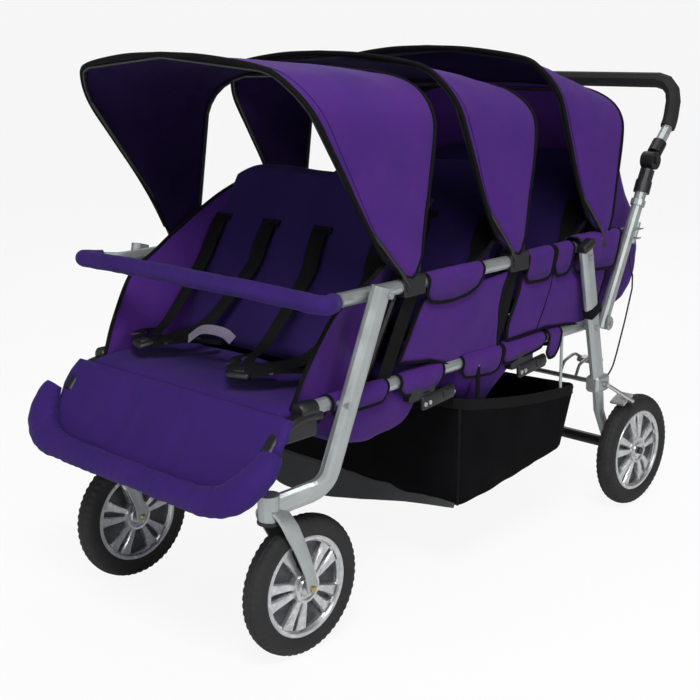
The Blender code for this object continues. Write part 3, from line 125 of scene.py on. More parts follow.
# %% Materials from expressions
def shader(name, colour, roughness, metallic=0.0, **constants):
    """A Principled material with its constant values, and its tree ready for expressions."""
    made = bpy.data.materials.new(name)
    made.use_nodes = True
    tree = made.node_tree
    principled = tree.nodes["Principled BSDF"]
    principled.inputs["Base Color"].default_value = (*colour, 1)
    principled.inputs["Roughness"].default_value = roughness
    principled.inputs["Metallic"].default_value = metallic
    for key, value in constants.items():
        principled.inputs[key.replace("_", " ")].default_value = value
    made.diffuse_color = (*colour, 1)
    return made, Link(tree).add("ShaderNodeTexCoord", out="Object"), principled


def feed(start, principled, colour=None, roughness=None, height=None, strength=0.5, distance=0.001):
    """Links what varies over a surface to its three sockets."""
    tree = start.tree
    if colour:
        tree.links.new(colour.socket, principled.inputs["Base Color"])
    if roughness:
        tree.links.new(roughness.socket, principled.inputs["Roughness"])
    if height:
        bump = start.add("ShaderNodeBump", Strength=strength, Distance=distance, Height=height)
        tree.links.new(bump.socket, principled.inputs["Normal"])


def mottle(start, scale, detail=3.0, rough=0.55):
    """Soft noise from 0 to 1 in object space."""
    return start.add(
        "ShaderNodeTexNoise", {"noise_dimensions": "3D"}, Vector=start,
        Scale=scale, Detail=detail, Roughness=rough,
    )


def tinted(start, factor, one, two):
    """A colour between two, by a factor."""
    return start.add(
        "ShaderNodeMix", {"data_type": "RGBA"}, out=2, i0=factor, i6=(*one, 1), i7=(*two, 1)
    )


# %% [markdown]
# ## Cloth
#
# The covers are a plain-woven polyester. Two crossed sine waves, read from a map that follows the cloth in
# metres, raise the threads, and slow noise makes the dye and the light fall uneven as on real cloth. The
# map is a UV layer, so the weave runs along each panel however it hangs. The lines of stitches are real
# geometry. A picture of a weave would do too, but waves have no seam and need no file.

# %% Cloth materials
THREAD, FINE_THREAD, BROAD_THREAD = 0.0011, 0.0007, 0.0016


def cloth(name, colour, second, thread=THREAD, sheen=0.25, roughness=0.82, crease=0.35, gloss=0.18):
    """Woven cloth with uneven dye, a thread relief and soft creases."""
    made, start, principled = shader(
        name, colour, roughness, Sheen_Weight=sheen, Sheen_Roughness=0.45, Specular_IOR_Level=gloss
    )
    uv = start.add("ShaderNodeUVMap", out="UV")
    across, along = (uv.add("ShaderNodeSeparateXYZ", out=axis, Vector=uv) for axis in "XY")
    warp, weft = ((way * (2 * math.pi / thread)).maths("SINE") for way in (across, along))
    weave = warp * weft * 0.5 + 0.5
    slow = mottle(start, 9.0, 4.0)
    fine = mottle(start, 260.0, 2.0)
    shade = slow.ranged(0.36, 0.64) * 0.75 + fine * 0.25
    feed(
        start, principled,
        colour=tinted(start, shade, colour, second),
        roughness=slow.ranged(0.3, 0.7, roughness - 0.06, roughness + 0.08),
        height=weave * 0.30 + fine * 0.25 + mottle(start, 38.0, 3.0) * crease * 2,
        strength=0.30, distance=0.0012,
    )
    return made


# %% Cloth colours
PURPLE = (0.062, 0.012, 0.165)
SEAT_PURPLE = (0.034, 0.0095, 0.130)
# The backs' purple is a darker copy of the seat purple: painted shade, the shadow that the hoods cast on the
# backs.
BACK_PURPLE_PAINTED_SHADE = (0.019, 0.0070, 0.080)
purple_cloth = cloth("purple_cloth", PURPLE, (0.046, 0.011, 0.146), sheen=0.05)
seat_cloth = cloth("purple_seat_cloth", SEAT_PURPLE, (0.027, 0.009, 0.112), sheen=0.04, crease=0.45)
back_cloth_painted_shade = cloth("purple_back_cloth", BACK_PURPLE_PAINTED_SHADE, (0.015, 0.006, 0.066), sheen=0.03, crease=0.45)
black_cloth = cloth("black_cloth", (0.0036, 0.0036, 0.0044), (0.0026, 0.0026, 0.0032), sheen=0.0, gloss=0.06)
# The lining is the canopy purple darkened: painted shade inside the hoods and the rear cover.
lining_cloth_painted_shade = cloth("canopy_lining", (0.026, 0.011, 0.070), (0.018, 0.008, 0.052), sheen=0.0, gloss=0.10)
binding_cloth = cloth(
    "black_binding", (0.0034, 0.0034, 0.0040), (0.0050, 0.0050, 0.0058), FINE_THREAD, sheen=0.01, gloss=0.10
)
webbing = cloth(
    "black_webbing", (0.0036, 0.0036, 0.0042), (0.0056, 0.0056, 0.0064), BROAD_THREAD, sheen=0.01, gloss=0.12
)
grey_webbing = cloth("grey_webbing", (0.23, 0.20, 0.27), (0.17, 0.15, 0.21), BROAD_THREAD)
# A grey for the sheet under the basket's front: painted shadow.
painted_shadow_grey_cloth = cloth("grey_wedge_cloth", (0.060, 0.064, 0.064), (0.048, 0.052, 0.052), sheen=0.05)


# %% [markdown]
# ## Metal, plastic, rubber and foam
#
# The tubes are silver paint over steel: a metallic base with faint cloudiness and tiny flakes. The moulded
# black parts have a spark-eroded grain, the tyres are dull foam rubber with dust, and the grip is
# closed-cell foam with fine pores. All of them read object space, because they have no map of their own.
#
# `LOOKS` lists the materials by their slot in the record. The first of each slot also finishes the bare
# CAD nodes.

# %% Hard materials
def painted_silver():
    made, start, principled = shader("silver_paint", (0.40, 0.42, 0.42), 0.42, 0.72, Coat_Weight=0.18)
    cloud = mottle(start, 22.0, 4.0)
    flake = mottle(start, 2600.0, 1.0)
    wear = mottle(start, 140.0, 5.0, 0.7).ranged(0.66, 0.76)
    tone = cloud.ranged(0.3, 0.7) * 0.7 + flake * 0.3
    feed(
        start, principled,
        colour=tinted(start, tone, (0.34, 0.37, 0.365), (0.46, 0.49, 0.485)),
        roughness=cloud.ranged(0.3, 0.7, 0.34, 0.50) + wear * 0.12,
        height=flake * 0.3 + mottle(start, 420.0, 2.0), strength=0.08, distance=0.0006,
    )
    return made


def moulded(name, colour, roughness, grain, **constants):
    """Plastic or foam with a fine even grain and faint scuffs."""
    made, start, principled = shader(name, colour, roughness, **constants)
    grit = mottle(start, grain, 2.0, 0.6)
    scuff = mottle(start, 60.0, 5.0, 0.7).ranged(0.60, 0.74)
    light = tuple(c * 1.5 + 0.004 for c in colour)
    feed(
        start, principled, colour=tinted(start, scuff * 0.5, colour, light),
        roughness=scuff * 0.12 + grit * 0.08 + (roughness - 0.04),
        height=grit, strength=0.25, distance=0.0005,
    )
    return made


def plated(name, colour, second, roughness):
    """Plated steel: uneven, a little dull where hands and dust reach it."""
    made, start, principled = shader(name, colour, roughness, 0.9)
    cloud = mottle(start, 75.0, 5.0)
    feed(
        start, principled, colour=tinted(start, cloud.ranged(0.35, 0.65), colour, second),
        roughness=cloud.ranged(0.3, 0.7, roughness - 0.08, roughness + 0.12),
        height=mottle(start, 700.0, 2.0), strength=0.12, distance=0.0004,
    )
    return made


def tyre_rubber():
    made, start, principled = shader("tyre_rubber", (0.009, 0.009, 0.010), 0.74)
    dust = mottle(start, 45.0, 5.0, 0.65).ranged(0.50, 0.75)
    pores = mottle(start, 900.0, 2.0)
    feed(
        start, principled, colour=tinted(start, dust * 0.6, (0.008, 0.008, 0.009), (0.024, 0.024, 0.023)),
        roughness=dust * 0.12 + 0.72, height=pores, strength=0.3, distance=0.0006,
    )
    return made


# %% Hard finishes, and every look by its slot
silver = painted_silver()
black_plastic = moulded("black_plastic", (0.006, 0.006, 0.007), 0.44, 1400.0)
black_paint = moulded("black_powder_coat", (0.006, 0.006, 0.0065), 0.40, 2400.0, Coat_Weight=0.1)
foam = moulded("grip_foam", (0.0055, 0.0055, 0.006), 0.80, 900.0)
tyre = tyre_rubber()
rim_silver = plated("rim_silver", (0.70, 0.71, 0.71), (0.52, 0.53, 0.54), 0.30)
# A dark grey for the disc behind the spokes: painted shade for the inside of the wheel.
painted_shade_grey = plated("rim_barrel_shade", (0.10, 0.105, 0.11), (0.07, 0.072, 0.075), 0.42)
zinc = plated("zinc_steel", (0.62, 0.62, 0.60), (0.45, 0.45, 0.43), 0.30)
brass = plated("brass_bolt", (0.60, 0.44, 0.20), (0.45, 0.32, 0.14), 0.32)
LOOKS = {
    "silver": (silver,), "black_plastic": (black_plastic,), "black_tube": (black_paint,), "foam": (foam,),
    "steel": (zinc, brass), "tyre": (tyre,), "rim": (rim_silver, painted_shade_grey),
    "purple": (purple_cloth, seat_cloth, back_cloth_painted_shade),
    "black_cloth": (black_cloth, binding_cloth, webbing, grey_webbing, painted_shadow_grey_cloth),
}
slot_of = {look.name: slot for slot, looks in LOOKS.items() for look in looks}
print("materials", len(bpy.data.materials))


# %% [markdown]
# ## Making meshes from rows of points
#
# Cloth panels, tubes, straps and pads all come down to rows of points with faces between them. `lofted`
# makes such a mesh and gives it a UV map in metres, which the weave follows. `swept` moves a section along
# a path, and carries its frame without twisting it. The pieces could be modelled by hand in edit mode, but
# rows from a rule keep every size a named value.

# %% Geometry helpers
@contextmanager
def editing(mesh):
    """A mesh opened for editing, and written back at the end."""
    made = bmesh.new()
    made.from_mesh(mesh)
    yield made
    made.to_mesh(mesh)
    made.free()


def angles(count):
    """The angles of a full turn in equal steps."""
    return [2 * math.pi * k / count for k in range(count)]


def patch(lines, columns, place):
    """Rows of points from a function of the share down and the share across."""
    return [[place(i / lines, j / columns) for j in range(columns + 1)] for i in range(lines + 1)]


# %% Faces between rows
def lofted(rows, loop=False, caps=False):
    """A mesh through rows of points, with a UV map that follows it in metres."""
    count = len(rows[0])
    middle = rows[len(rows) // 2]
    steps = [0.0]
    for index in range(count):
        steps.append(steps[-1] + (middle[(index + 1) % count] - middle[index]).length)
    reach = [0.0]
    for one, two in zip(rows, rows[1:]):
        gap = sum((b - a).length for a, b in zip(one, two)) / count
        reach.append(reach[-1] + gap)
    mesh = bpy.data.meshes.new("loft")
    with editing(mesh) as made:
        layer = made.loops.layers.uv.new("UVMap")
        grid = [[made.verts.new(p) for p in row] for row in rows]
        for i in range(len(rows) - 1):
            for j in range(count if loop else count - 1):
                k = (j + 1) % count
                face = made.faces.new((grid[i][j], grid[i][k], grid[i + 1][k], grid[i + 1][j]))
                corners = ((i, j), (i, j + 1), (i + 1, j + 1), (i + 1, j))
                for corner, (a, b) in zip(face.loops, corners):
                    corner[layer].uv = (steps[b], reach[a])
        if caps:
            made.faces.new(list(reversed(grid[0])))
            made.faces.new(grid[-1])
        bmesh.ops.recalc_face_normals(made, faces=made.faces)
    return mesh


def welded(mesh):
    """The mesh with its coinciding points merged and its normals outward."""
    with editing(mesh) as made:
        bmesh.ops.remove_doubles(made, verts=made.verts, dist=0.000001)
        bmesh.ops.recalc_face_normals(made, faces=made.faces)
    return mesh


def joined(meshes):
    """Several meshes as one, with their maps."""
    whole = bpy.data.meshes.new("joined")
    with editing(whole) as made:
        for mesh in meshes:
            made.from_mesh(mesh)
            bpy.data.meshes.remove(mesh)
    return whole


# %% Finished pieces
def piece(name, mesh, look, body=None, replaced=None, lining=None, angle=50):
    """A finished piece at the origin, on its body, with its material, hiding the CAD node it stands for."""
    mesh.name = name
    obj = bpy.data.objects.new(name, mesh)
    scene.collection.objects.link(obj)
    for material in (look, lining) if lining else (look,):
        mesh.materials.append(material)
    mesh.shade_smooth()
    mesh.set_sharp_from_angle(angle=math.radians(angle))
    if body:
        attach(obj, body)
    if replaced:
        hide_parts(replaced)
    return obj


def baked(obj):
    """The object's mesh with its modifiers applied, and the modifiers gone."""
    bpy.context.view_layer.update()
    graph = bpy.context.evaluated_depsgraph_get()
    mesh = bpy.data.meshes.new_from_object(obj.evaluated_get(graph), depsgraph=graph)
    obj.modifiers.clear()
    obj.data = mesh
    return obj


def thickened(obj, thickness, offset=-1.0, lined=False):
    """Gives a sheet its thickness. The inside and the rim may take the second material."""
    wall = obj.modifiers.new("wall", "SOLIDIFY")
    wall.thickness = thickness
    wall.offset = offset
    wall.material_offset = wall.material_offset_rim = 1 if lined else 0
    return baked(obj)


# %% Paths
def resampled(points, count, closed=False):
    """Points at even distances along a path."""
    points = [Vector(p) for p in points]
    if closed:
        points = [*points, points[0]]
    lengths = [0.0]
    for one, two in zip(points, points[1:]):
        lengths.append(lengths[-1] + (two - one).length)
    spots = []
    index = 0
    for step in range(count):
        want = lengths[-1] * step / (count if closed else count - 1)
        while index < len(lengths) - 2 and lengths[index + 1] < want:
            index += 1
        gap = lengths[index + 1] - lengths[index]
        spots.append(points[index].lerp(points[index + 1], (want - lengths[index]) / gap if gap else 0))
    return spots


def at_share(path, share):
    """The place at a share of a path's points."""
    spot = min(max(share, 0.0), 1.0) * (len(path) - 1)
    index = min(int(spot), len(path) - 2)
    return path[index].lerp(path[index + 1], spot - index)


def smooth_path(points, steps=8):
    """A Catmull-Rom curve through the points."""
    points = [Vector(p) for p in points]
    padded = [points[0] * 2 - points[1], *points, points[-1] * 2 - points[-2]]
    path = []
    for a, b, c, d in zip(padded, padded[1:], padded[2:], padded[3:]):
        for step in range(steps):
            t = step / steps
            bend, twist = 2 * a - 5 * b + 4 * c - d, 3 * b - a - 3 * c + d
            path.append(0.5 * (2 * b + (c - a) * t + bend * t * t + twist * t ** 3))
    return [*path, points[-1]]


def curve(points, count, steps=8):
    """Points at even distances along a smooth curve through a few."""
    return resampled(smooth_path(points, steps), count)


# %% Sections
def round_section(radius, sides=14, flat=1.0):
    """A circle or ellipse as (side, up) points."""
    return [(math.cos(turn) * radius, math.sin(turn) * radius * flat) for turn in angles(sides)]


def strap_section(width, thick, rounds=3):
    """A flat band with rounded edges as (side, up) points."""
    section = []
    for side in (1, -1):
        for k in range(rounds + 1):
            turn = math.pi * k / rounds - math.pi / 2
            reach = (width - thick) / 2 + math.cos(turn) * thick / 2
            section.append((side * reach, side * math.sin(turn) * thick / 2))
    return section


# %% Swept and turned shapes
def frames(path, up=None):
    """The side and up directions at each point. Up is one vector, one for each point, or carried."""
    count = len(path)
    ahead = [(path[min(i + 1, count - 1)] - path[max(i - 1, 0)]).normalized() for i in range(count)]
    if up is None:
        start = Vector((0, 0, 1)) if abs(ahead[0].z) < 0.9 else Vector((1, 0, 0))
        carried = [(start - ahead[0] * start.dot(ahead[0])).normalized()]
        for before, now in zip(ahead, ahead[1:]):
            last = carried[-1].copy()
            last.rotate(before.rotation_difference(now))
            carried.append((last - now * last.dot(now)).normalized())
        ups = carried
    else:
        given = up if isinstance(up, list) else [Vector(up)] * count
        ups = [(u - a * u.dot(a)).normalized() for u, a in zip(given, ahead)]
    return [(a.cross(u), u) for a, u in zip(ahead, ups)]


def swept(path, section, up=None, scale=None, caps=True):
    """A section moved along a path. Scale is one number for each point."""
    path = [Vector(p) for p in path]
    rows = []
    for index, (point, (side, high)) in enumerate(zip(path, frames(path, up))):
        size = scale[index] if scale else 1.0
        rows.append([point + side * a * size + high * b * size for a, b in section])
    return lofted(rows, loop=True, caps=caps)


def turned(profile, centre, steps=48, closed=False):
    """A profile of (along X, radius) points turned about the X axis through a centre."""
    rows = [
        [centre + Vector((along, math.cos(turn) * radius, math.sin(turn) * radius)) for turn in angles(steps)]
        for along, radius in profile
    ]
    if closed:
        return welded(lofted([*rows, rows[0]], loop=True))
    return lofted(rows, loop=True, caps=True)


def crumpled(mesh, amount, size, seed=0.0):
    """Moves the surface in and out by smooth noise. Size is the creases' spacing in metres."""
    moves = []
    for vert, normal in zip(mesh.vertices, mesh.vertex_normals):
        spot = vert.co / size + Vector((seed, seed * 1.7, -seed))
        height = noise.noise(spot) + 0.45 * noise.noise(spot * 2.3)
        moves.append(vert.co + Vector(normal.vector) * height * amount)
    for vert, place in zip(mesh.vertices, moves):
        vert.co = place
    mesh.update()
    return mesh


# %% [markdown]
# ## Stitches, one Geometry Nodes tree for all of them
#
# A sewn line is hundreds of equal dashes, so it is the right job for instances on a curve. The tree
# resamples the seam's path at the stitch pitch, puts a small thread on each point, turns it along the seam
# and realises the copies. The result is one plain mesh.

# %% Cylinders on points
def cylinders_on_points(name, sizes, sides, radius, depth):
    """A tree with named inputs that puts a cylinder on each point, realises the copies and paints them."""
    tree = bpy.data.node_groups.new(name, "GeometryNodeTree")
    face = tree.interface
    face.new_socket("Geometry", in_out="INPUT", socket_type="NodeSocketGeometry")
    for key, value in sizes.items():
        face.new_socket(key, in_out="INPUT", socket_type="NodeSocketFloat").default_value = value
    face.new_socket("Material", in_out="INPUT", socket_type="NodeSocketMaterial")
    face.new_socket("Geometry", in_out="OUTPUT", socket_type="NodeSocketGeometry")
    new, link = tree.nodes.new, tree.links.new
    start, end = new("NodeGroupInput"), new("NodeGroupOutput")
    copies = new("GeometryNodeInstanceOnPoints")
    part = new("GeometryNodeMeshCylinder")
    part.inputs["Vertices"].default_value = sides
    real = new("GeometryNodeRealizeInstances")
    finish = new("GeometryNodeSetMaterial")
    link(start.outputs[radius], part.inputs["Radius"])
    link(start.outputs[depth], part.inputs["Depth"])
    link(part.outputs["Mesh"], copies.inputs["Instance"])
    link(copies.outputs["Instances"], real.inputs["Geometry"])
    link(real.outputs["Geometry"], finish.inputs["Geometry"])
    link(start.outputs["Material"], finish.inputs["Material"])
    link(finish.outputs["Geometry"], end.inputs["Geometry"])
    return tree, start, copies


# %% Stitch tree
def stitch_tree():
    tree, start, copies = cylinders_on_points(
        "stitches", {"Pitch": 0.0042, "Length": 0.0028, "Thread": 0.0005}, 5, "Thread", "Length"
    )
    new, link = tree.nodes.new, tree.links.new
    curve = new("GeometryNodeMeshToCurve")
    spaced = new("GeometryNodeResampleCurve")
    spaced.mode = "LENGTH"
    along = new("GeometryNodeInputTangent")
    turn = new("FunctionNodeAlignEulerToVector")
    turn.axis = "Z"
    link(start.outputs["Geometry"], curve.inputs["Mesh"])
    link(curve.outputs["Curve"], spaced.inputs["Curve"])
    link(start.outputs["Pitch"], spaced.inputs["Length"])
    link(along.outputs["Tangent"], turn.inputs["Vector"])
    link(spaced.outputs["Curve"], copies.inputs["Points"])
    link(turn.outputs["Rotation"], copies.inputs["Rotation"])
    return tree


STITCHES = stitch_tree()


# %% Stitched seams
def on_tree(tree, mesh, values):
    """Runs a tree on a mesh and gives the result as a plain mesh."""
    carrier = bpy.data.objects.new("carrier", mesh)
    scene.collection.objects.link(carrier)
    modifier = carrier.modifiers.new("nodes", "NODES")
    modifier.node_group = tree
    for item in tree.interface.items_tree:
        if item.item_type == "SOCKET" and item.in_out == "INPUT" and item.name in values:
            modifier[item.identifier] = values[item.name]
    baked(carrier)
    result = carrier.data
    bpy.data.objects.remove(carrier)
    return result


def stitched(name, paths, material, body, **sizes):
    """Rows of stitches along paths, as one piece on a body."""
    lines = bpy.data.meshes.new("seams")
    points, edges = [], []
    for path in paths:
        first = len(points)
        points += [tuple(p) for p in path]
        edges += [(k, k + 1) for k in range(first, len(points) - 1)]
    lines.from_pydata(points, edges, [])
    result = on_tree(STITCHES, lines, {"Material": material, **sizes})
    result.materials.clear()
    return piece(name, result, material, body)


# %% [markdown]
# ## Where the frame is
#
# These numbers repeat the CAD source's own, because the scene can't read that file. The side frames lean
# out a little from the lower rails to the upper ones, so `side_x` gives the cloth's place beside them at a
# height.

# %% The frame's main places
LOWER_Z, LOWER_X = 0.500, 0.305
UPPER_Z, UPPER_X = 0.695, 0.330
RAIL = 0.014
UPPER_RAILS, LOWER_RAILS = ([f"{level}_rail_{side}" for side in SIDES] for level in ("upper", "lower"))
LINK_SWING = 0.086
FIRST_LINK_Y = -0.3575
ROW_PITCH = 0.333
SEAT_FRONT_Y = -0.5725
BOW_SPACING = 0.040
CANOPY_HALF_WIDTH = 0.331
FRONT_BOW = ((0.515, 34.0), (0.473, 27.0), (0.475, 26.0))
REAR_BOW = ((0.397, -9.0), (0.364, -8.0), (0.346, -8.0))
REAR_OUTLINE = (
    (1.0, 0.0), (1.0, 0.30), (1.005, 0.66), (0.975, 0.80),
    (0.86, 0.90), (0.64, 0.965), (0.25, 0.995), (0.0, 1.0),
)
FRONT_OUTLINE = (
    (1.0, 0.0), (0.95, 0.30), (0.965, 0.60), (0.97, 0.78),
    (0.88, 0.90), (0.76, 0.95), (0.36, 0.99), (0.0, 1.0),
)


def side_x(z, outward=0.0):
    return LOWER_X + (UPPER_X - LOWER_X) * (z - LOWER_Z) / (UPPER_Z - LOWER_Z) + outward


def link_y(row):
    return FIRST_LINK_Y + row * ROW_PITCH


def bracket_y(row):
    return link_y(row) + LINK_SWING


def mix(a, b, share):
    return a + (b - a) * share


def hump(share):
    """0 at both ends of a share and 1 in its middle."""
    return math.sin(math.pi * share)


def mirrored(points):
    return [Vector((-p.x, p.y, p.z)) for p in points]


def both_halves(half):
    """A path from its own half, which ends at the middle, and the mirrored other half."""
    return half + list(reversed(mirrored(half[:-1])))


# %% [markdown]
# ## Canopies
#
# Each hood is one sheet of purple cloth, stretched between a fixed rear bow and a front bow that swings.
# Its inside takes a darker purple, which paints the shade under the hood. Down at the brackets the two bows
# come together, so the sheet narrows to a rounded lobe. The bows' own paths give the sheet's two edges, and
# the rows between them bulge a little away from the hinge. Cloth could be simulated over the bows, but these
# hoods are sewn to both and stay taut, so the surface between the two known edges is drawn directly.

# %% Bow paths
def bow(row, front, grow=0.0):
    """A bow's middle line from the left foot over the top to the right, grown outward in its own plane."""
    height, lean = (FRONT_BOW if front else REAR_BOW)[row]
    outline = FRONT_OUTLINE if front else REAR_OUTLINE
    foot_y = bracket_y(row) + BOW_SPACING * (-0.5 if front else 0.5)
    angle = math.radians(lean)
    up = Vector((0, -math.sin(angle), math.cos(angle)))
    half = smooth_path([Vector((x, y, 0)) for x, y in outline], 10)
    half = [Vector((p.x * CANOPY_HALF_WIDTH, p.y * height, 0)) for p in half]
    flat = resampled(mirrored(half) + list(reversed(half[:-1])), 121)
    grown = []
    for index, point in enumerate(flat):
        ahead = flat[min(index + 1, len(flat) - 1)] - flat[max(index - 1, 0)]
        out = Vector((-ahead.y, ahead.x, 0)).normalized()
        grown.append(point + out * grow)
    return [Vector((p.x, foot_y, UPPER_Z)) + up * p.y for p in grown]


# %% Canopy surface
CANOPY_COLUMNS = 28
CANOPY_LINES = 120
HEM_COLUMN = 26
BOW_COVER = 0.0052      # from a bow's middle line to the cloth over it
CANOPY_THICK = 0.0016
FULLNESS = 0.10         # of the way from flat to bulging about the hinge
FOOT_SHARE = 0.16       # of the hem's length at each foot
LOBE_EDGE = 0.044
LOBE_DIP = 0.032
FOOT_FORWARD = 0.015    # of the front hem at its foot, where the cloth pulls ahead of the bow


def canopy_rows(row):
    """The sheet's points, in rows from the left lobe over the top to the right lobe."""
    rear, front = bow(row, False, BOW_COVER), bow(row, True, BOW_COVER)
    hinge = Vector((0, bracket_y(row), UPPER_Z))

    def place_at(t, blend):
        start = LOBE_EDGE - LOBE_DIP * hump(blend) ** 0.6
        share = start + (1 - 2 * start) * t
        near_foot = max(0.0, 1 - min(share, 1 - share) / FOOT_SHARE)
        a = at_share(rear, share)
        b = at_share(front, share) + Vector((0, -FOOT_FORWARD, 0)) * near_foot ** 1.5
        flat = a.lerp(b, blend)
        reach = mix((a - hinge).length, (b - hinge).length, blend)
        full = hinge + (flat - hinge).normalized() * reach
        place = flat.lerp(full, FULLNESS)
        low = (1 - hump(share)) ** 2 * hump(blend)
        pull = 0.010 + 0.0005 * abs(math.sin(blend * 17 + row))
        place.x += math.copysign(pull * low, place.x)
        return place

    return patch(CANOPY_LINES, CANOPY_COLUMNS, place_at)


# %% Canopy sheets, tapes and seams
def sheet_area(mesh):
    return sum(face.area for face in mesh.polygons)


for row in ROWS:
    rows = canopy_rows(row)
    name = f"canopy_{row + 1}"
    middle = CANOPY_COLUMNS // 2
    rear_middle, front_middle = rows[CANOPY_LINES // 2][0], rows[CANOPY_LINES // 2][-1]
    mesh = crumpled(lofted(rows), 0.0022, 0.11, 3.0 * (row + 1))
    area = sheet_area(mesh)
    canopy = piece(
        f"hood_cloth_{row + 1}", mesh, purple_cloth, replaced=f"canopy_cloth_{row + 1}", lining=lining_cloth_painted_shade
    )
    if mesh.polygons[len(mesh.polygons) // 2].normal.z < 0:
        mesh.flip_normals()
    hem = [mesh.vertices[k * (CANOPY_COLUMNS + 1) + HEM_COLUMN] for k in range(len(rows))]
    hem = [vert.co + vert.normal * 0.0006 for vert in hem]
    thickened(canopy, CANOPY_THICK, lined=True)
    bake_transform(canopy)
    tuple(rear_middle)
    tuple(front_middle)
    width = sum((b[middle] - a[middle]).length for a, b in zip(rows, rows[1:]))
    area / width
    tape = swept(resampled([line[-1] for line in rows], 160), round_section(0.0050, 12))
    piece(f"hood_front_tape_{row + 1}", tape, binding_cloth, name)
    lobes = [swept(resampled(rows[end], 40), round_section(0.0030, 10)) for end in (0, -1)]
    rear = swept(resampled([line[0] for line in rows], 160), round_section(0.0040, 10))
    piece(f"hood_rear_tape_{row + 1}", joined([rear, *lobes]), binding_cloth, "upper_frame")
    seam = stitched(
        f"hood_hem_{row + 1}", [hem], back_cloth_painted_shade, None, Pitch=0.0062, Length=0.0046, Thread=0.0008
    )
    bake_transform(seam)
    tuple(rear_middle)
    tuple(front_middle)
print("canopies", len(ROWS))


# %% [markdown]
# ## Padded pieces
#
# A cushion is two grids that share their rim. `pillow` swells them apart by a rounded edge profile and
# lets slow noise push the filling about. The grid is dense at the rim, where the surface turns over. A
# subdivided block would be soft too, but it would lose the sewn edge.

# %% Pillow maker
PAD_WAVE = 0.0030


def dense(count, strength=0.7):
    """Shares from 0 to 1 that crowd at both ends."""
    return [
        mix(k / count, 0.5 - 0.5 * math.cos(math.pi * k / count), strength) for k in range(count + 1)
    ]


def pillow(place, thick, size, columns, rows, roll=0.020, seed=0.0):
    """A closed pad about a middle surface place(u, v). Its edge is rounded over roll."""
    us, vs = dense(columns), dense(rows)
    step = 0.004

    def normal(u, v):
        across = place(min(u + step, 1), v) - place(max(u - step, 0), v)
        along = place(u, min(v + step, 1)) - place(u, max(v - step, 0))
        return across.cross(along).normalized()

    def swell(u, v):
        rim = min(u * size[0], (1 - u) * size[0], v * size[1], (1 - v) * size[1])
        near = min(rim / roll, 1.0)
        return math.sqrt(max(0.0, 1 - (1 - near) ** 2))

    faces = {}
    mesh = bpy.data.meshes.new("pillow")
    with editing(mesh) as made:
        layer = made.loops.layers.uv.new("UVMap")
        for side in (1, -1):
            for i, v in enumerate(vs):
                for j, u in enumerate(us):
                    if side < 0 and (i in (0, rows) or j in (0, columns)):
                        faces[side, i, j] = faces[1, i, j]
                        continue
                    middle, out = place(u, v), normal(u, v)
                    height = swell(u, v) * thick / 2
                    spot = middle / 0.075 + Vector((seed, 1.3 * seed, side))
                    height += noise.noise(spot) * PAD_WAVE * min(1.0, height / (thick * 0.3))
                    faces[side, i, j] = made.verts.new(middle + out * height * side)
        for side in (1, -1):
            for i in range(rows):
                for j in range(columns):
                    corners = [(i, j), (i, j + 1), (i + 1, j + 1), (i + 1, j)][::side]
                    face = made.faces.new([faces[side, a, b] for a, b in corners])
                    for corner, (a, b) in zip(face.loops, corners):
                        corner[layer].uv = (us[b] * size[0], vs[a] * size[1])
        bmesh.ops.recalc_face_normals(made, faces=made.faces)
    return mesh


def padded_piece(name, mesh, material, body, replaced=None):
    piece(name, mesh, material, body, replaced)


# %% [markdown]
# ## Seats
#
# Each row has one cushion for two children. Its front edge bulges where the cloth turns down over the seat
# bar, and each place is a little hollow. The pad follows a middle surface of its own, so the nose and the
# hollows are part of one shape.

# %% Seat cushions
SEAT_HALF = 0.2895
SEAT_DEPTH = 0.215
SEAT_Z = 0.4955
SEAT_THICK = 0.036
SEAT_NOSE = 0.010     # how far the front edge bulges over the seat bar


def seat_place(row):
    front = SEAT_FRONT_Y + ROW_PITCH * row + 0.003

    def place(u, v):
        half = SEAT_HALF - 0.022 * max(0.0, (v - 0.84) / 0.16)
        x = (2 * u - 1) * half
        dip = 0.006 * hump(min(1, 2 * abs(u - 0.5))) * hump(v)
        ahead = SEAT_NOSE * (1 - v) ** 3
        return Vector((x, front - ahead + v * SEAT_DEPTH, SEAT_Z - dip - 0.010 * (1 - v) ** 5))

    return place


for row in ROWS:
    mesh = pillow(seat_place(row), SEAT_THICK, (2 * SEAT_HALF, SEAT_DEPTH), 64, 36, seed=4.0 + row)
    padded_piece(f"seat_pad_{row + 1}", mesh, seat_cloth, "lower_frame", f"seat_cushion_{row + 1}")
print("seat pads", len(ROWS))


# %% [markdown]
# ## Backs
#
# A back is one wide pad for two children. Its head is cut in a curve that rises a little over each child.
# It leans 31 degrees, so everything on it is placed by how far up the back it lies and how far across. It
# is the same kind of pad as a seat, on a leaning surface.

# %% Backrests
BACK_LEAN = math.radians(31)
BACK_UP = Vector((0, math.sin(BACK_LEAN), math.cos(BACK_LEAN)))
BACK_OUT = Vector((0, -math.cos(BACK_LEAN), math.sin(BACK_LEAN)))
BACK_LONG = 0.424
BACK_START = 0.012
BACK_HALF = 0.0270
BACK_FORWARD = 0.0165    # of the pad's middle from the recline axis
BACK_SIZE = (0.54, 0.41)
AXIS_BEHIND = 0.014      # of the recline axis from the row's link


def back_axis(row):
    return Vector((0, link_y(row) + AXIS_BEHIND, LOWER_Z))


def back_spot(row, x, up, out=0.0):
    """A point by its place across, its way up the back and its height over the middle of the pad."""
    return back_axis(row) + Vector((x, 0, 0)) + BACK_UP * up + BACK_OUT * out


def back_width(up):
    return mix(0.2590, 0.2825, min(max((up - BACK_START) / 0.425, 0), 1))


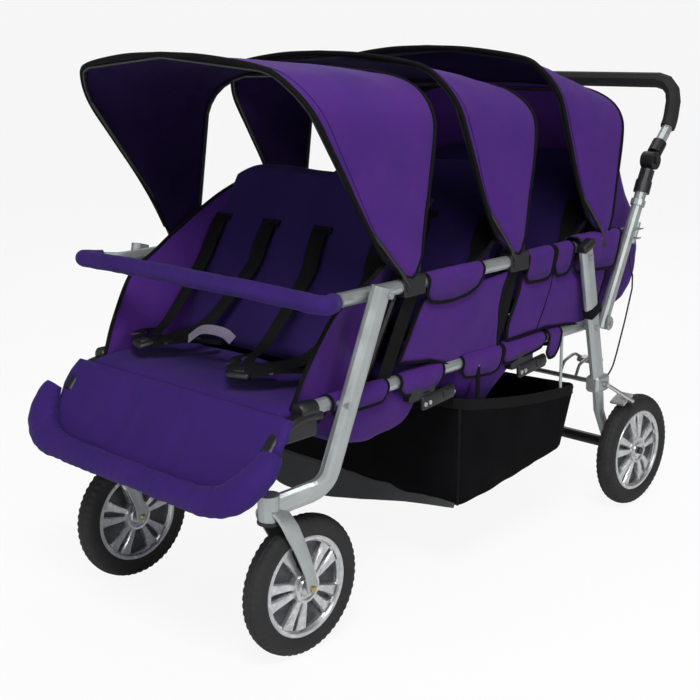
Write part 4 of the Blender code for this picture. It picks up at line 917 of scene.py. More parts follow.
def back_place(row):
    def place(u, v):
        across = 2 * u - 1
        corner = max(0.0, abs(across) - 0.72) / 0.28
        top = BACK_LONG + 0.004 - 0.034 * corner ** 2.4 - 0.003 * math.cos(math.pi * across * 2)
        up = BACK_START + v * (top - BACK_START)
        hollow = 0.005 * hump(min(1.0, abs(across))) * hump(v)
        return back_spot(row, across * back_width(up), up, BACK_FORWARD - hollow)

    return place


# The back pads take the darker purple, which paints the hoods' shade on them.
for row in ROWS:
    mesh = pillow(back_place(row), 2 * BACK_HALF, BACK_SIZE, 64, 52, roll=0.024, seed=9.0 + row)
    padded_piece(
        f"back_pad_{row + 1}", mesh, back_cloth_painted_shade, f"backrest_{row + 1}", f"backrest_pad_{row + 1}"
    )
print("back pads", len(ROWS))


# %% [markdown]
# ## Footrest
#
# The footrest is a shallow tray: a thin padded panel in front of the seats, with a stuffed roll round its
# left, front and right edges. The panel has drag folds, and the roll is puckered where its cover is
# gathered. The folds are ridges at chosen places, because noise alone would spread them evenly.

# %% Footrest
FOOT_TOP = Vector((0, -0.580, 0.496))
FOOT_DOWN = Vector((0, -0.127, -0.160)).normalized()
FOOT_OUT = Vector((0, -0.160, 0.127)).normalized()
FOOT_LONG = 0.196
PANEL_EDGE = ((-0.01, 0.322), (0.03, 0.333), (0.06, 0.334), (0.10, 0.322), (0.15, 0.290), (0.20, 0.262))
FOLD_WIDTH = 0.007
PUCKERS = ((-0.075, 0.0035), (-0.015, 0.0022), (0.050, 0.0030), (0.110, 0.0024), (-0.170, 0.0018))


def along_table(table, spot):
    """A value between the pairs of a short table."""
    for (a, low), (b, high) in zip(table, table[1:]):
        if spot <= b:
            return mix(low, high, min(max((spot - a) / (b - a), 0), 1))
    return table[-1][1]


def foot_spot(x, down, out=0.0):
    return FOOT_TOP + Vector((x, 0, 0)) + FOOT_DOWN * down + FOOT_OUT * out


def foot_place(u, v):
    down = v * FOOT_LONG
    x = (2 * u - 1) * along_table(PANEL_EDGE, down)
    hollow = 0.010 * hump(v) * math.cos(math.pi * (u - 0.5))
    fold = 0.0
    for spot, height in PUCKERS:
        fold += height * math.exp(-((x - spot - 0.03 * (v - 0.5)) / FOLD_WIDTH) ** 2)
    return foot_spot(x, down, fold * hump(min(1, v * 1.1)) ** 1.5 - hollow)


mesh = pillow(foot_place, 0.020, (0.58, 0.20), 110, 44, roll=0.014, seed=17.0)
padded_piece("footrest_panel", mesh, seat_cloth, "footrest")


# %% Footrest roll
ROLL_OUT = 0.021
HALF_ROLL = (
    (0.338, 0.074), (0.338, 0.096), (0.331, 0.122), (0.316, 0.149), (0.290, 0.173), (0.252, 0.187),
    (0.200, 0.192), (0.120, 0.193), (0.000, 0.193),
)
ROLL_SIZE = (
    (0.0, 0.80), (0.012, 1.00), (0.05, 1.30), (0.11, 1.40), (0.17, 1.25), (0.25, 1.04),
    (0.40, 0.96), (0.50, 0.95),
)
half_roll = [foot_spot(x, down, ROLL_OUT) for x, down in HALF_ROLL]
roll_path = curve(both_halves(half_roll), 300)
roll_scale = []
for index, point in enumerate(roll_path):
    share = index / (len(roll_path) - 1)
    from_end = min(share, 1 - share)
    pucker = 1 + 0.016 * math.sin(index * 0.7 + 3 * noise.noise(point * 14)) + 0.05 * noise.noise(point * 16)
    roll_scale.append(along_table(ROLL_SIZE, from_end) * pucker)
mesh = crumpled(
    swept(roll_path, round_section(0.0250, 32, 0.74), up=FOOT_OUT, scale=roll_scale), 0.0022, 0.045, 21.0
)
padded_piece("footrest_roll", mesh, seat_cloth, "footrest", "footrest_pad")


# %% [markdown]
# ## Bumper bar
#
# A foam sleeve covered in the same purple cloth runs across the front. Its cover is a little long for the
# bar, so it wrinkles where it turns. Short bare ends of silver tube show on both sides. A round section
# swept along the bar's line makes the sleeve, and noise along it the wrinkles.

# %% Bumper bar
def rounded(points, radius, steps=6):
    """A path with its inner corners rounded."""
    points = [Vector(p) for p in points]
    path = [points[0]]
    for before, corner, after in zip(points, points[1:], points[2:]):
        into, onward = (before - corner), (after - corner)
        cut = min(radius, into.length * 0.48, onward.length * 0.48)
        start, end = corner + into.normalized() * cut, corner + onward.normalized() * cut
        for step in range(steps + 1):
            t = step / steps
            path.append(start * (1 - t) ** 2 + corner * 2 * t * (1 - t) + end * t * t)
    path.append(points[-1])
    return path


BAR_START = Vector((UPPER_X, -0.4548, UPPER_Z))
BAR_ELBOW = Vector((UPPER_X, -0.4685, UPPER_Z))
BAR_CORNER = Vector((0.373, -0.5365, 0.702))
first = BAR_ELBOW.lerp(BAR_CORNER, 0.36)
half_bar = [first, BAR_CORNER, Vector((0.1865, -0.5405, 0.706))]
bar_line = resampled(rounded(half_bar + list(reversed(mirrored(half_bar))), 0.032), 240)
bar_scale = []
for index, point in enumerate(bar_line):
    share = index / (len(bar_line) - 1)
    from_end = min(share, 1 - share)
    tip = math.sqrt(min(1.0, from_end / 0.006 + 0.35))
    bar_scale.append(tip * (1 + 0.006 * math.sin(index * 0.55) + 0.03 * noise.noise(point * 18)))
mesh = crumpled(swept(bar_line, round_section(0.0178, 24), scale=bar_scale), 0.0011, 0.028, 31.0)
padded_piece("bumper_sleeve", mesh, seat_cloth, "upper_frame", "bumper_bar")
stubs = []
for sign in SIDES.values():
    path = [Vector((sign * p.x, p.y, p.z)) for p in (BAR_START, BAR_ELBOW, BAR_ELBOW.lerp(BAR_CORNER, 0.5))]
    stubs.append(swept(rounded(path, 0.03), round_section(0.0140, 20)))
piece("bumper_stubs", joined(stubs), silver, "upper_frame")
bar_seam = [p + Vector((0, 0.0172, -0.004)) for p in bar_line[8:-8]]
stitched("bumper_seam", [bar_seam], binding_cloth, "upper_frame")
print("footrest and bumper bar done")


# %% [markdown]
# ## Side cloth
#
# The side walls hang between the upper and lower rails. They are drawn straight between an upper and a
# lower edge that follow the cut of the panels in the photograph, puffed outward a little and bound in
# black tape. The flaps wrap the rails with hook-and-loop tape, so they stand a few millimetres proud of
# them. Simulated cloth would sag here, and the real panels are stretched, so they are drawn from their
# edges.

# %% Side cloth helpers
def side_path(sign, points, out=0.0):
    """Points on the lean of the side frames, from (y, z) pairs."""
    return [Vector((sign * side_x(z, out), y, z)) for y, z in points]


def cloth_piece(name, rows, body, rests, replaced=None, held="stretched", look=purple_cloth, lining=None,
                thick=0.0016, amount=0.0014, size=0.05, seed=0.0):
    """A sheet from rows of points, creased and given its thickness."""
    mesh = crumpled(lofted(rows), amount, size, seed)
    middle = len(rows[0]) // 2
    length = sum((b[middle] - a[middle]).length for a, b in zip(rows, rows[1:]))
    obj = piece(name, mesh, look, body, replaced, lining)
    thickened(obj, thick, offset=0)
    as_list(rests)


def taped(path, radius=0.0034, flat=0.6, up=None):
    """Black binding along a path."""
    return swept(resampled(path, max(12, len(path))), round_section(radius, 10, flat), up)


# %% Side panels between the rails
PANEL_OUT = 0.004
PANELS = {
    1: (((-0.216, 0.664), (-0.120, 0.660), (-0.055, 0.668), (0.043, 0.676)),
        ((-0.287, 0.539), (-0.189, 0.526), (-0.128, 0.506), (-0.053, 0.501), (0.033, 0.504)),
        ((-0.236, 0.651), (-0.261, 0.595)), ((0.024, 0.627), (0.026, 0.556))),
    2: (((0.090, 0.668), (0.200, 0.664), (0.300, 0.660), (0.420, 0.652)),
        ((0.062, 0.519), (0.203, 0.524), (0.290, 0.515), (0.376, 0.500)),
        ((0.084, 0.620), (0.062, 0.560)), ((0.420, 0.610), (0.402, 0.550))),
}


def panel_rows(sign, top, bottom, left, right, count=34, lines=16):
    """Rows of a side panel whose ends are bent like its cut edges."""
    top_line, low_line = (resampled(side_path(sign, edge, PANEL_OUT), count) for edge in (top, bottom))
    ends = []
    for start, middle, end in ((top[0], left, bottom[0]), (top[-1], right, bottom[-1])):
        ends.append(curve(side_path(sign, [start, *middle, end], PANEL_OUT), lines + 1, 6))

    def place_at(t, s):
        i, j = round(t * lines), round(s * (count - 1))
        drift_one = ends[0][i] - top_line[0].lerp(low_line[0], t)
        drift_two = ends[1][i] - top_line[-1].lerp(low_line[-1], t)
        place = top_line[j].lerp(low_line[j], t) + drift_one * (1 - s) + drift_two * s
        bulge = 0.007 * hump(t) * hump(s) ** 0.6
        drag = 0.0022 * math.sin(9 * s + 5 * t) * hump(t) * hump(s)
        place.x += sign * (bulge + drag)
        return place

    return patch(lines, count - 1, place_at)


for side, sign in SIDES.items():
    tapes = []
    for row, (top, bottom, left, right) in PANELS.items():
        rows = panel_rows(sign, top, bottom, left, right)
        cloth_piece(
            f"side_wall_{row + 1}_{side}", rows, "lower_frame", [f"lower_rail_{side}"],
            f"side_panel_{side}" if row == 1 else None, seed=row * 5.0 + sign,
        )
        for path in ([line[0] for line in rows], [line[-1] for line in rows], rows[-1]):
            tapes.append(taped([p + Vector((sign * 0.00088, 0, 0)) for p in path], 0.0046, 0.55))
        if row == 2:
            seam = [line[len(line) * 34 // 100] + Vector((sign * 0.0018, 0, 0)) for line in rows]
            tapes.append(taped(seam, 0.0011, 0.8))
    piece(f"side_tape_{side}", joined(tapes), binding_cloth, "lower_frame")
print("side walls", 2 * len(PANELS))


# %% [markdown]
# ## Wings
#
# From each back's side a wing of the same cloth runs forward to the upper rail. In the first row it goes
# on down to the seat's front corner, so the front seats sit in a scoop. Its free edge is bound in black.
# It is drawn from its two long edges, like the side walls.

# %% Wings
WING_EDGE = (
    (-0.150, 0.840), (-0.220, 0.808), (-0.3135, 0.7466), (-0.385, 0.702),
    (-0.452, 0.664), (-0.512, 0.575), (-0.548, 0.500),
)
WING_INSIDE = 0.0175


def wing_edge(row, sign, points):
    spots = []
    for y, z in points:
        inward = WING_INSIDE + 0.030 * max(0.0, (z - 0.75) / 0.09)
        spots.append(Vector((sign * (min(side_x(z), side_x(0.70)) - inward), y + row * ROW_PITCH, z)))
    return spots


def wing_rows(row, sign, long_wing):
    points = WING_EDGE if long_wing else WING_EDGE[:4]
    outer = curve(wing_edge(row, sign, points), 54)
    low = 0.035 if long_wing else 0.20
    inner = [back_spot(row, sign * (back_width(t) - 0.008), t, 0.016) for t in (0.405, 0.30, low)]
    if long_wing:
        inner += [Vector((sign * 0.284, y, 0.506)) for y in (-0.365, -0.46, -0.545)]
    inner = resampled(inner, 54)

    def place_at(t, s):
        place = outer[round(s * 53)].lerp(inner[round(s * 53)], t)
        return place + Vector((-sign * 0.010 * hump(s), 0, -0.006 * (1 - s))) * hump(t)

    return patch(14, 53, place_at)


for side, sign in SIDES.items():
    tapes = []
    for row in ROWS:
        rows = wing_rows(row, sign, row == 0)
        cloth_piece(
            f"wing_{row + 1}_{side}", rows, "lower_frame", [f"upper_rail_{side}"], seed=row * 3.0 + sign,
            amount=0.0026, size=0.060,
        )
        tapes.append(taped(rows[0], 0.0052, 0.55, up=Vector((0, -0.5, 0.8))))
    piece(f"wing_tape_{side}", joined(tapes), binding_cloth, "lower_frame")
print("wings", 2 * len(ROWS))


# %% [markdown]
# ## Flaps over the rails
#
# Each side wall ends in flaps that lap over the tubes and close on themselves with hook-and-loop tape. A
# flap's section runs up inside the tube, over it and down outside, and its free edge carries a folded
# black tape. One section moved along a rail makes them all, and only its lower edge changes.

# %% Upper flaps
def wrap_section(top, low_out, low_in, gap=0.0022, square=1.0):
    """(outward, height) points from the outer lower edge over a tube to the inner lower edge."""
    reach = RAIL + gap
    turn = []
    for a in angles(24)[:13]:
        side = math.copysign(abs(math.cos(a)) ** square, math.cos(a))
        turn.append((side * reach, abs(math.sin(a)) ** square * reach * (1.15 if square < 1 else 1) + top))
    return [(reach * 0.80, low_out), (reach * 0.96, mix(low_out, top, 0.55)), *turn,
            (-reach, mix(low_in, top, 0.5)), (-reach * 0.9, low_in)]


UPPER_FLAPS = {
    "2a": (-0.232, -0.062, (0.657, 0.647, 0.646, 0.650, 0.668)),
    "3a": (0.092, 0.184, (0.642, 0.641, 0.640, 0.640, 0.640)),
    "3b": (0.192, 0.256, (0.652, 0.642, 0.640, 0.640, 0.646)),
    "3c": (0.268, 0.436, (0.638, 0.636, 0.634, 0.632, 0.630)),
}


def flap_rows(sign, start, end, lows, top, in_low, count=26, **section):
    rows = []
    edge_line = [Vector((0, 0, low)) for low in lows]
    for i in range(count + 1):
        t = i / count
        edge = min(t, 1 - t) * (end - start)
        low = at_share(edge_line, t).z + 0.014 * max(0.0, 1 - edge / 0.016) ** 2
        y = mix(start, end, t)
        wave = 0.0008 * math.sin(y * 90 + top * 40)
        rows.append([
            Vector((sign * (side_x(z) + out + wave), y, z))
            for out, z in wrap_section(top, low, in_low, **section)
        ])
    return rows


def flaps(kind, table, rail, body, top, in_low, seed, tape, corner, wide=()):
    """Every flap on both rails of a kind, and one tape piece a side round their free edges."""
    for side, sign in SIDES.items():
        tapes = []
        for name, (start, end, lows) in table.items():
            section = {"gap": 0.0062, "square": 0.45} if name in wide else {}
            rows = flap_rows(sign, start, end, lows, top, in_low, **section)
            cloth_piece(
                f"{kind}_{name}_{side}", rows, body, [f"{rail}_{side}"], seed=start * seed + sign,
                amount=0.0007, size=0.03, thick=0.0018, held="folded",
            )
            path = [*reversed(rows[0][:corner]), *[row[0] for row in rows][1:-1], *rows[-1][:corner]]
            out = Vector((sign * 0.0012, 0, 0))
            tapes.append(swept(resampled([p + out for p in path], 70), round_section(tape, 10, 0.6)))
        piece(f"{kind}_tape_{side}", joined(tapes), binding_cloth, body)
    print(kind, 2 * len(table))


flaps("rail_flap", UPPER_FLAPS, "upper_rail", "upper_frame", UPPER_Z, 0.668, 40, 0.0036, 10, ("3c",))


# %% Lower flaps
LOWER_FLAPS = {
    "1": (-0.474, -0.322, (0.476, 0.474, 0.472, 0.472, 0.474)),
    "2": (-0.284, -0.156, (0.474, 0.467, 0.464, 0.464, 0.470)),
    "2w": (-0.092, 0.040, (0.470, 0.464, 0.460, 0.458, 0.462)),
    "3": (0.046, 0.196, (0.468, 0.470, 0.474, 0.478, 0.482)),
    "tag": (0.208, 0.256, (0.452, 0.449, 0.448, 0.449, 0.452)),
}
flaps("seat_flap", LOWER_FLAPS, "lower_rail", "lower_frame", LOWER_Z, 0.478, 30, 0.0034, 12)


# %% [markdown]
# ## Foot wells
#
# The second and third rows have no footrest. Their cloth drops below the rails in a shallow well for the
# children's feet, and the purple sides of these wells show under the lower rail. Each is one profile
# carried across the stroller, with its ends raised to the rails.

# %% Foot wells
WELLS = {
    2: ((-0.462, 0.452), (-0.420, 0.405), (-0.346, 0.386), (-0.270, 0.390), (-0.215, 0.404), (-0.200, 0.452)),
    3: ((-0.082, 0.470), (-0.064, 0.420), (0.016, 0.382), (0.070, 0.404), (0.122, 0.444), (0.130, 0.462)),
}
WELL_HALF = 0.296
WELL_RIM = 0.484


def well_rows(profile):
    line = smooth_path([Vector((0, y, z)) for y, z in profile], 8)
    rows = []
    for k in dense(60, 0.85):
        across = 2 * k - 1
        side_rise = max(0.0, (abs(across) - 0.90) / 0.10) ** 1.6
        row = []
        for index, point in enumerate(line):
            arch = hump(index / (len(line) - 1))
            sag = 0.008 * math.cos(math.pi * across / 2) * arch
            bow_out = 0.008 * hump(min(1, side_rise)) * arch
            x = across * WELL_HALF + math.copysign(bow_out, across)
            row.append(Vector((x, point.y, mix(point.z - sag, WELL_RIM, side_rise))))
        rows.append(row)
    return rows


for number, profile in WELLS.items():
    rows = well_rows(profile)
    cloth_piece(
        f"foot_well_{number}", rows, "lower_frame", LOWER_RAILS, held="hung",
        seed=number * 7.0, amount=0.0028, size=0.055,
    )
print("foot wells", len(WELLS))


# %% [markdown]
# ## Black edging strips beside the uprights
#
# Behind each row's uprights the side wall is open, and both edges of the opening are faced with broad
# black webbing that runs from the canopy's bracket down to the lower rail. Bands swept along the edges lie
# flat on the frame's lean.

# %% Facing strips
STRIPS = (
    ((-0.262, 0.676), (-0.290, 0.600), (-0.322, 0.512), 0.036),
    ((0.060, 0.676), (0.048, 0.610), (0.034, 0.545), 0.036),
    ((0.036, 0.550), (0.032, 0.530), (0.028, 0.504), 0.024),
    ((0.410, 0.640), (0.392, 0.580), (0.370, 0.510), 0.020),
)
for side, sign in SIDES.items():
    strips = []
    for *points, width in STRIPS:
        path = smooth_path(side_path(sign, points, 0.0005), 8)
        strips.append(swept(path, strap_section(width, 0.0022), up=(sign, 0, 0)))
    piece(f"facing_strips_{side}", joined(strips), webbing, "lower_frame")
print("strips", len(STRIPS))


# %% [markdown]
# ## Rear cover
#
# Behind the last row the cloth hangs from the rear bow, swells out over the seat back and comes in again
# under it, like a shallow bag. The upper part belongs to the folding upper frame, and the lower part to
# the last seat back. The lower part covers the upper one's hem. One profile for the middle and one for the
# sides, joined by a squared-off curve, give the boxy shape that a plain arc wouldn't.

# %% Rear cover
COVER_PROFILE = (
    (0.4627, 1.036), (0.500, 0.975), (0.538, 0.900), (0.566, 0.838), (0.590, 0.779), (0.614, 0.728),
    (0.630, 0.681), (0.637, 0.640), (0.636, 0.613), (0.628, 0.588), (0.612, 0.562), (0.580, 0.535),
    (0.515, 0.515),
)
SIDE_PROFILE = (
    (0.463, 1.036), (0.440, 0.900), (0.436, 0.720), (0.436, 0.640), (0.402, 0.560), (0.375, 0.515),
)
COVER_HALF = 0.298
COVER_SQUARE = 9.0


def depth_at(profile, z):
    """The y on a (y, z) profile at a height."""
    for (y_one, high), (y_two, low) in zip(profile, profile[1:]):
        if z >= low:
            return mix(y_one, y_two, min(max((high - z) / (high - low), 0), 1))
    return profile[-1][0]


def eased(t):
    t = min(max(t, 0.0), 1.0)
    return t * t * (3 - 2 * t)


def cover_rows(start, end, lift=0.0, lines=40, columns=72):
    """Rows of the cover between two shares of its way down."""
    bow_line = bow(2, False, 0.0045)
    across = dense(columns, 0.6)

    def place_at(t, s):
        v, u = mix(start, end, t), across[round(s * columns)]
        top = at_share(bow_line, mix(0.10, 0.90, u))
        z = mix(top.z, COVER_PROFILE[-1][1], v)
        x = mix(top.x, (2 * u - 1) * COVER_HALF, eased(v * 1.8))
        side = min(abs(x) / COVER_HALF, 1.0)
        full = (1 - side ** COVER_SQUARE) ** (1 / COVER_SQUARE)
        y = mix(depth_at(SIDE_PROFILE, z), depth_at(COVER_PROFILE, z) + lift, full)
        return Vector((x, mix(top.y, y, eased(v * 2.6)), z))

    return patch(lines, columns, place_at)


# The inside of the rear cover takes the darkened lining purple, which paints its shade.
SLACK = {"held": "hung", "lining": lining_cloth_painted_shade, "amount": 0.0035, "size": 0.085}
cloth_piece("rear_curtain", cover_rows(0.0, 0.50), "upper_frame", UPPER_RAILS, seed=41.0, **SLACK)
rows = cover_rows(0.44, 1.0, lift=0.0045)
cloth_piece("rear_bag", rows, "backrest_3", ["backrest_pad_3"], "rear_cover", seed=43.0, **SLACK)
edges = [[row[0] for row in rows], [row[-1] for row in rows], rows[0], rows[-1]]
cover_tape = joined([taped(edge, 0.0040, 0.8) for edge in edges])
piece("rear_bag_tape", cover_tape, binding_cloth, "backrest_3")
ribs = []
for share in (0.18, 0.82):
    path = [row[round(share * (len(row) - 1))] + Vector((0, 0.0016, 0)) for row in rows]
    ribs.append(taped(path, 0.0028, 0.8))
piece("rear_bag_piping", joined(ribs), binding_cloth, "backrest_3")
print("rear cover")


# %% [markdown]
# ## Harnesses
#
# Every seat place has two shoulder straps that come out of slots in the back, a lap strap and a strap
# between the legs, all ending in a buckle that lies on the seat. A grey strap end lies loose in the first
# row. Straps are bands swept along sagging paths. Those of the first row lie as in the photograph, and the
# other rows repeat them.

# %% Straps and buckles
SHOULDER = (
    ((-0.255, 0.286), (-0.246, 0.175),
     (-0.232, -0.405, 0.578), (-0.212, -0.470, 0.548), (-0.190, -0.515, 0.540)),
    ((-0.098, 0.286), (-0.088, 0.175),
     (-0.118, -0.405, 0.576), (-0.155, -0.472, 0.550), (-0.184, -0.505, 0.541)),
    ((0.058, 0.286), (0.078, 0.175), (0.090, -0.420, 0.575), (0.112, -0.488, 0.552), (0.136, -0.532, 0.540)),
    ((0.230, 0.286), (0.244, 0.175), (0.222, -0.420, 0.572), (0.182, -0.492, 0.550), (0.146, -0.528, 0.541)),
)
BUCKLES = (Vector((-0.190, -0.517, 0.540)), Vector((0.140, -0.537, 0.540)))
HIP = ((0.105, 0.120, -0.004), (0.070, 0.050, 0.008), (0.026, 0.002, 0.001))
CROTCH = ((0, 0.010, -0.004), (0.004, 0.040, 0.012), (0.006, 0.085, -0.012))
GREY_END = ((-0.098, -0.470, 0.556), (-0.060, -0.462, 0.580), (-0.010, -0.452, 0.580), (0.012, -0.445, 0.566))
SHOULDER_UP = BACK_OUT + Vector((0, 0, 0.4))
SHOULDER_WIDE, SHOULDER_NARROW, LAP_WIDE = 0.040, 0.027, 0.026
STRAP_OUT = 0.055


def shoulder_path(row, top, low, *on_seat):
    """From a slot in the back, given by place across and way up, down over the seat to its buckle."""
    points = [
        back_spot(row, top[0], top[1] + 0.004, BACK_FORWARD + 0.004),
        back_spot(row, top[0], top[1] - 0.004, STRAP_OUT - 0.008),
        back_spot(row, mix(top[0], low[0], 0.5), mix(top[1], low[1], 0.5), STRAP_OUT),
        back_spot(row, *low, STRAP_OUT + 0.004),
    ]
    points += [Vector(p) + Vector((0, row * ROW_PITCH, 0)) for p in on_seat]
    return curve(points, 64, 10)


def strap(path, wide, narrow=None, thick=0.0022, up=None, twist=0.0):
    """A band that may narrow and turn a little along its way."""
    narrow = narrow or wide
    path = [Vector(p) for p in path]
    rows = []
    for index, (point, (side, high)) in enumerate(zip(path, frames(path, up))):
        t = index / (len(path) - 1)
        width = mix(wide, narrow, eased(t * 1.6))
        angle = twist * math.sin(math.pi * t)
        across = side * math.cos(angle) + high * math.sin(angle)
        above = high * math.cos(angle) - side * math.sin(angle)
        rows.append([point + across * a + above * b for a, b in strap_section(width, thick)])
    return lofted(rows, loop=True, caps=True)


def box_mesh(centre, size, turn=0.0, lean=0.0, bevel=0.004):
    """A block with rounded edges, turned about Z and leaned about its own X."""
    matrix = Matrix.Translation(centre) @ Matrix.Rotation(turn, 4, "Z") @ Matrix.Rotation(lean, 4, "X")
    reach = min(bevel, min(size) * 0.45)
    mesh = bpy.data.meshes.new("box")
    with editing(mesh) as made:
        bmesh.ops.create_cube(made, size=1.0)
        bmesh.ops.scale(made, vec=Vector(size), verts=made.verts)
        bmesh.ops.bevel(made, geom=made.edges[:], offset=reach, segments=3, profile=0.5, affect="EDGES")
        bmesh.ops.transform(made, matrix=matrix, verts=made.verts)
    return mesh


# %% Harnesses of the three rows
for row in ROWS:
    shift = Vector((0, row * ROW_PITCH, 0))
    back = f"backrest_{row + 1}"
    bands, lap, blocks, slots = [], [], [], []
    for line in SHOULDER:
        across, up = line[0]
        path = shoulder_path(row, *line)
        bands.append(strap(path, SHOULDER_WIDE, SHOULDER_NARROW, up=SHOULDER_UP, twist=0.25))
        face = BACK_FORWARD + BACK_HALF - 0.001
        slot = [back_spot(row, across + dx, up, face) for dx in (-0.027, 0, 0.027)]
        slots.append(strap(slot, 0.016, up=BACK_OUT, thick=0.004))
    for buckle in BUCKLES:
        place = buckle + shift
        turn = 0.35 if buckle.x > 0 else -0.25
        blocks.append(box_mesh(place, (0.050, 0.036, 0.014), turn, 0.15, 0.006))
        blocks.append(box_mesh(place + Vector((0, 0.001, 0.007)), (0.024, 0.020, 0.006), turn, 0.15, 0.0025))
        for side in (-1, 1):
            hip = curve([place + Vector((side * x, y, z)) for x, y, z in HIP], 30, 10)
            lap.append(strap(hip, LAP_WIDE, up=(0, -0.3, 1)))
            slide = place + Vector((side * 0.055, 0.030, 0.006))
            blocks.append(box_mesh(slide, (0.010, 0.034, 0.006), turn + side * 0.4, 0.0, 0.002))
        crotch = curve([place + Vector(p) for p in CROTCH], 26, 10)
        lap.append(strap(crotch, SHOULDER_NARROW, up=(0, -0.2, 1)))
    piece(f"shoulder_straps_{row + 1}", joined([*bands, *slots]), webbing, back)
    piece(f"lap_straps_{row + 1}", joined(lap), webbing, "lower_frame")
    piece(f"buckles_{row + 1}", joined(blocks), black_plastic, "lower_frame")
loose_end = strap(curve(GREY_END, 40, 10), 0.021, up=(0, -0.75, 0.6), thick=0.0018)
piece("grey_strap_end", loose_end, grey_webbing, "lower_frame")
print("harnesses", 2 * len(ROWS))


# %% [markdown]
# ## Basket
#
# The basket under the seats is heavy black cloth. Its rim sags between the hangers, its walls belly out a
# little, its corners are sewn, and a band of webbing stiffens the rim. Rings from the rim down to the foot
# make one skin, so the cloth can crease across the corners.

# %% Basket
BASKET_FRONT, BASKET_REAR, BASKET_HALF = -0.0985, 0.3255, 0.318
BASKET_TOP = (0.420, 0.362)
BASKET_BASE = (0.176, 0.222)
BASKET_TAPER = 0.020
BASKET_CORNER = 0.020


def basket_height(y, share):
    """The height on the basket's walls at a place along it and a share of the way up."""
    along = (y - BASKET_FRONT) / (BASKET_REAR - BASKET_FRONT)
    return mix(mix(*BASKET_BASE, along), mix(*BASKET_TOP, along), share)


def basket_ring(share, inset=0.0, count=160):
    """A rounded rectangle round the basket at a share of its height."""
    taper = BASKET_TAPER * (1 - share) + inset
    half, front, rear = BASKET_HALF - taper, BASKET_FRONT + taper, BASKET_REAR - taper
    corner = BASKET_CORNER - min(inset, 0.010)
    loop = []
    for x_sign, y_end, first in ((1, front, -90), (1, rear, 0), (-1, rear, 90), (-1, front, 180)):
        inward = corner if y_end == front else -corner
        for k in range(7):
            angle = math.radians(first + 15 * k)
            bend = Vector((math.cos(angle), math.sin(angle), 0)) * corner
            loop.append(Vector((x_sign * (half - corner), y_end + inward, 0)) + bend)
    ring = []
    for p in resampled(loop, count, True):
        along = (p.y - BASKET_FRONT) / (BASKET_REAR - BASKET_FRONT)
        if abs(p.x) / half > 0.94:
            middle, out = hump(min(max(along, 0), 1)), Vector((math.copysign(1, p.x), 0, 0))
        else:
            middle = math.cos(math.pi * p.x / (2 * half))
            out = Vector((0, math.copysign(1, along - 0.5), 0))
        sag = 0.010 * middle * share + 0.004 * middle * (1 - share)
        spot = Vector((p.x, p.y, basket_height(p.y, share) - sag))
        ring.append(spot + out * 0.007 * hump(share) * middle)
    return ring


# %% Basket cloth and webbing
shares = [k / 18 for k in range(19)]
outside = [basket_ring(s) for s in reversed(shares)]
under = []
for inset in (0.030, 0.080, 0.150, 0.205):
    under.append([p - Vector((0, 0, 0.020 * inset)) for p in basket_ring(0.0, inset)])
mesh = crumpled(lofted([*outside, *under], loop=True), 0.0030, 0.075, 51.0)
with editing(mesh) as made:
    hole = [edge for edge in made.edges if edge.is_boundary and edge.verts[0].co.z < 0.25]
    bmesh.ops.holes_fill(made, edges=hole, sides=0)
    bmesh.ops.recalc_face_normals(made, faces=made.faces)
area = sheet_area(mesh)
bag = piece("basket_cloth", mesh, black_cloth, "lower_frame", "basket")
thickened(bag, 0.0018)
rim = [p + Vector((0, 0, -0.006)) for p in basket_ring(1.0)]
band = swept([*rim, rim[0]], [(a, b) for b, a in strap_section(0.024, 0.0034)], up=(0, 0, 1), caps=False)
seams = []
for x_sign in (-1, 1):
    for y_end, inward in ((BASKET_FRONT, 1), (BASKET_REAR, -1)):
        path = []
        for s in shares:
            inset = BASKET_TAPER * (1 - s) + 0.0055
            y = y_end + inward * inset
            path.append((x_sign * (BASKET_HALF - inset), y, basket_height(y, s)))
        seams.append(swept(path, round_section(0.0030, 8)))
piece("basket_trim", joined([band, *seams]), webbing, "lower_frame")
HOOK_Y, HOOK_TOP, HOOK_FOOT = -0.0385, 0.484, 0.413
for side, sign in SIDES.items():
    heights = (HOOK_TOP, mix(HOOK_TOP, HOOK_FOOT, 0.5), HOOK_FOOT)
    sleeve = swept([(sign * (BASKET_HALF - 0.002), HOOK_Y, z) for z in heights], round_section(0.0048, 12))
    piece(f"basket_hook_sleeve_{side}", sleeve, binding_cloth, "lower_frame")
print("basket")


# %% Grey flap under the basket's front, a painted shadow
# The grey sheet copies the grey patch under the basket's front edge: painted shadow, not cloth of its own.
FLAP_LOW = ((0.290, 0.174), (0.150, 0.152), (0.000, 0.120), (-0.120, 0.098), (-0.240, 0.092), (-0.296, 0.110))
flap_top = resampled([(x, -0.0790, 0.184) for x in (0.290, -0.296)], 60)
flap_low = curve([(x, -0.0830, z) for x, z in FLAP_LOW], 60)
flap = [[a.lerp(b, i / 8) for a, b in zip(flap_top, flap_low)] for i in range(9)]
cloth_piece(
    "basket_front_flap", flap, "lower_frame", ["basket"], held="hung", look=painted_shadow_grey_cloth,
    amount=0.0022, size=0.06, seed=61.0,
)
print("flap")


# %% [markdown]
# ## Wheels
#
# The tyres are foam rubber with a rounded tread, two grooves and blocks along the shoulders. The rims are
# cast: a dished barrel, five pairs of spokes with a slot between the two, and a hub with a raised ring.
# Tyre and barrel are turned about the axle as on a lathe, and the spokes are set in one by one.

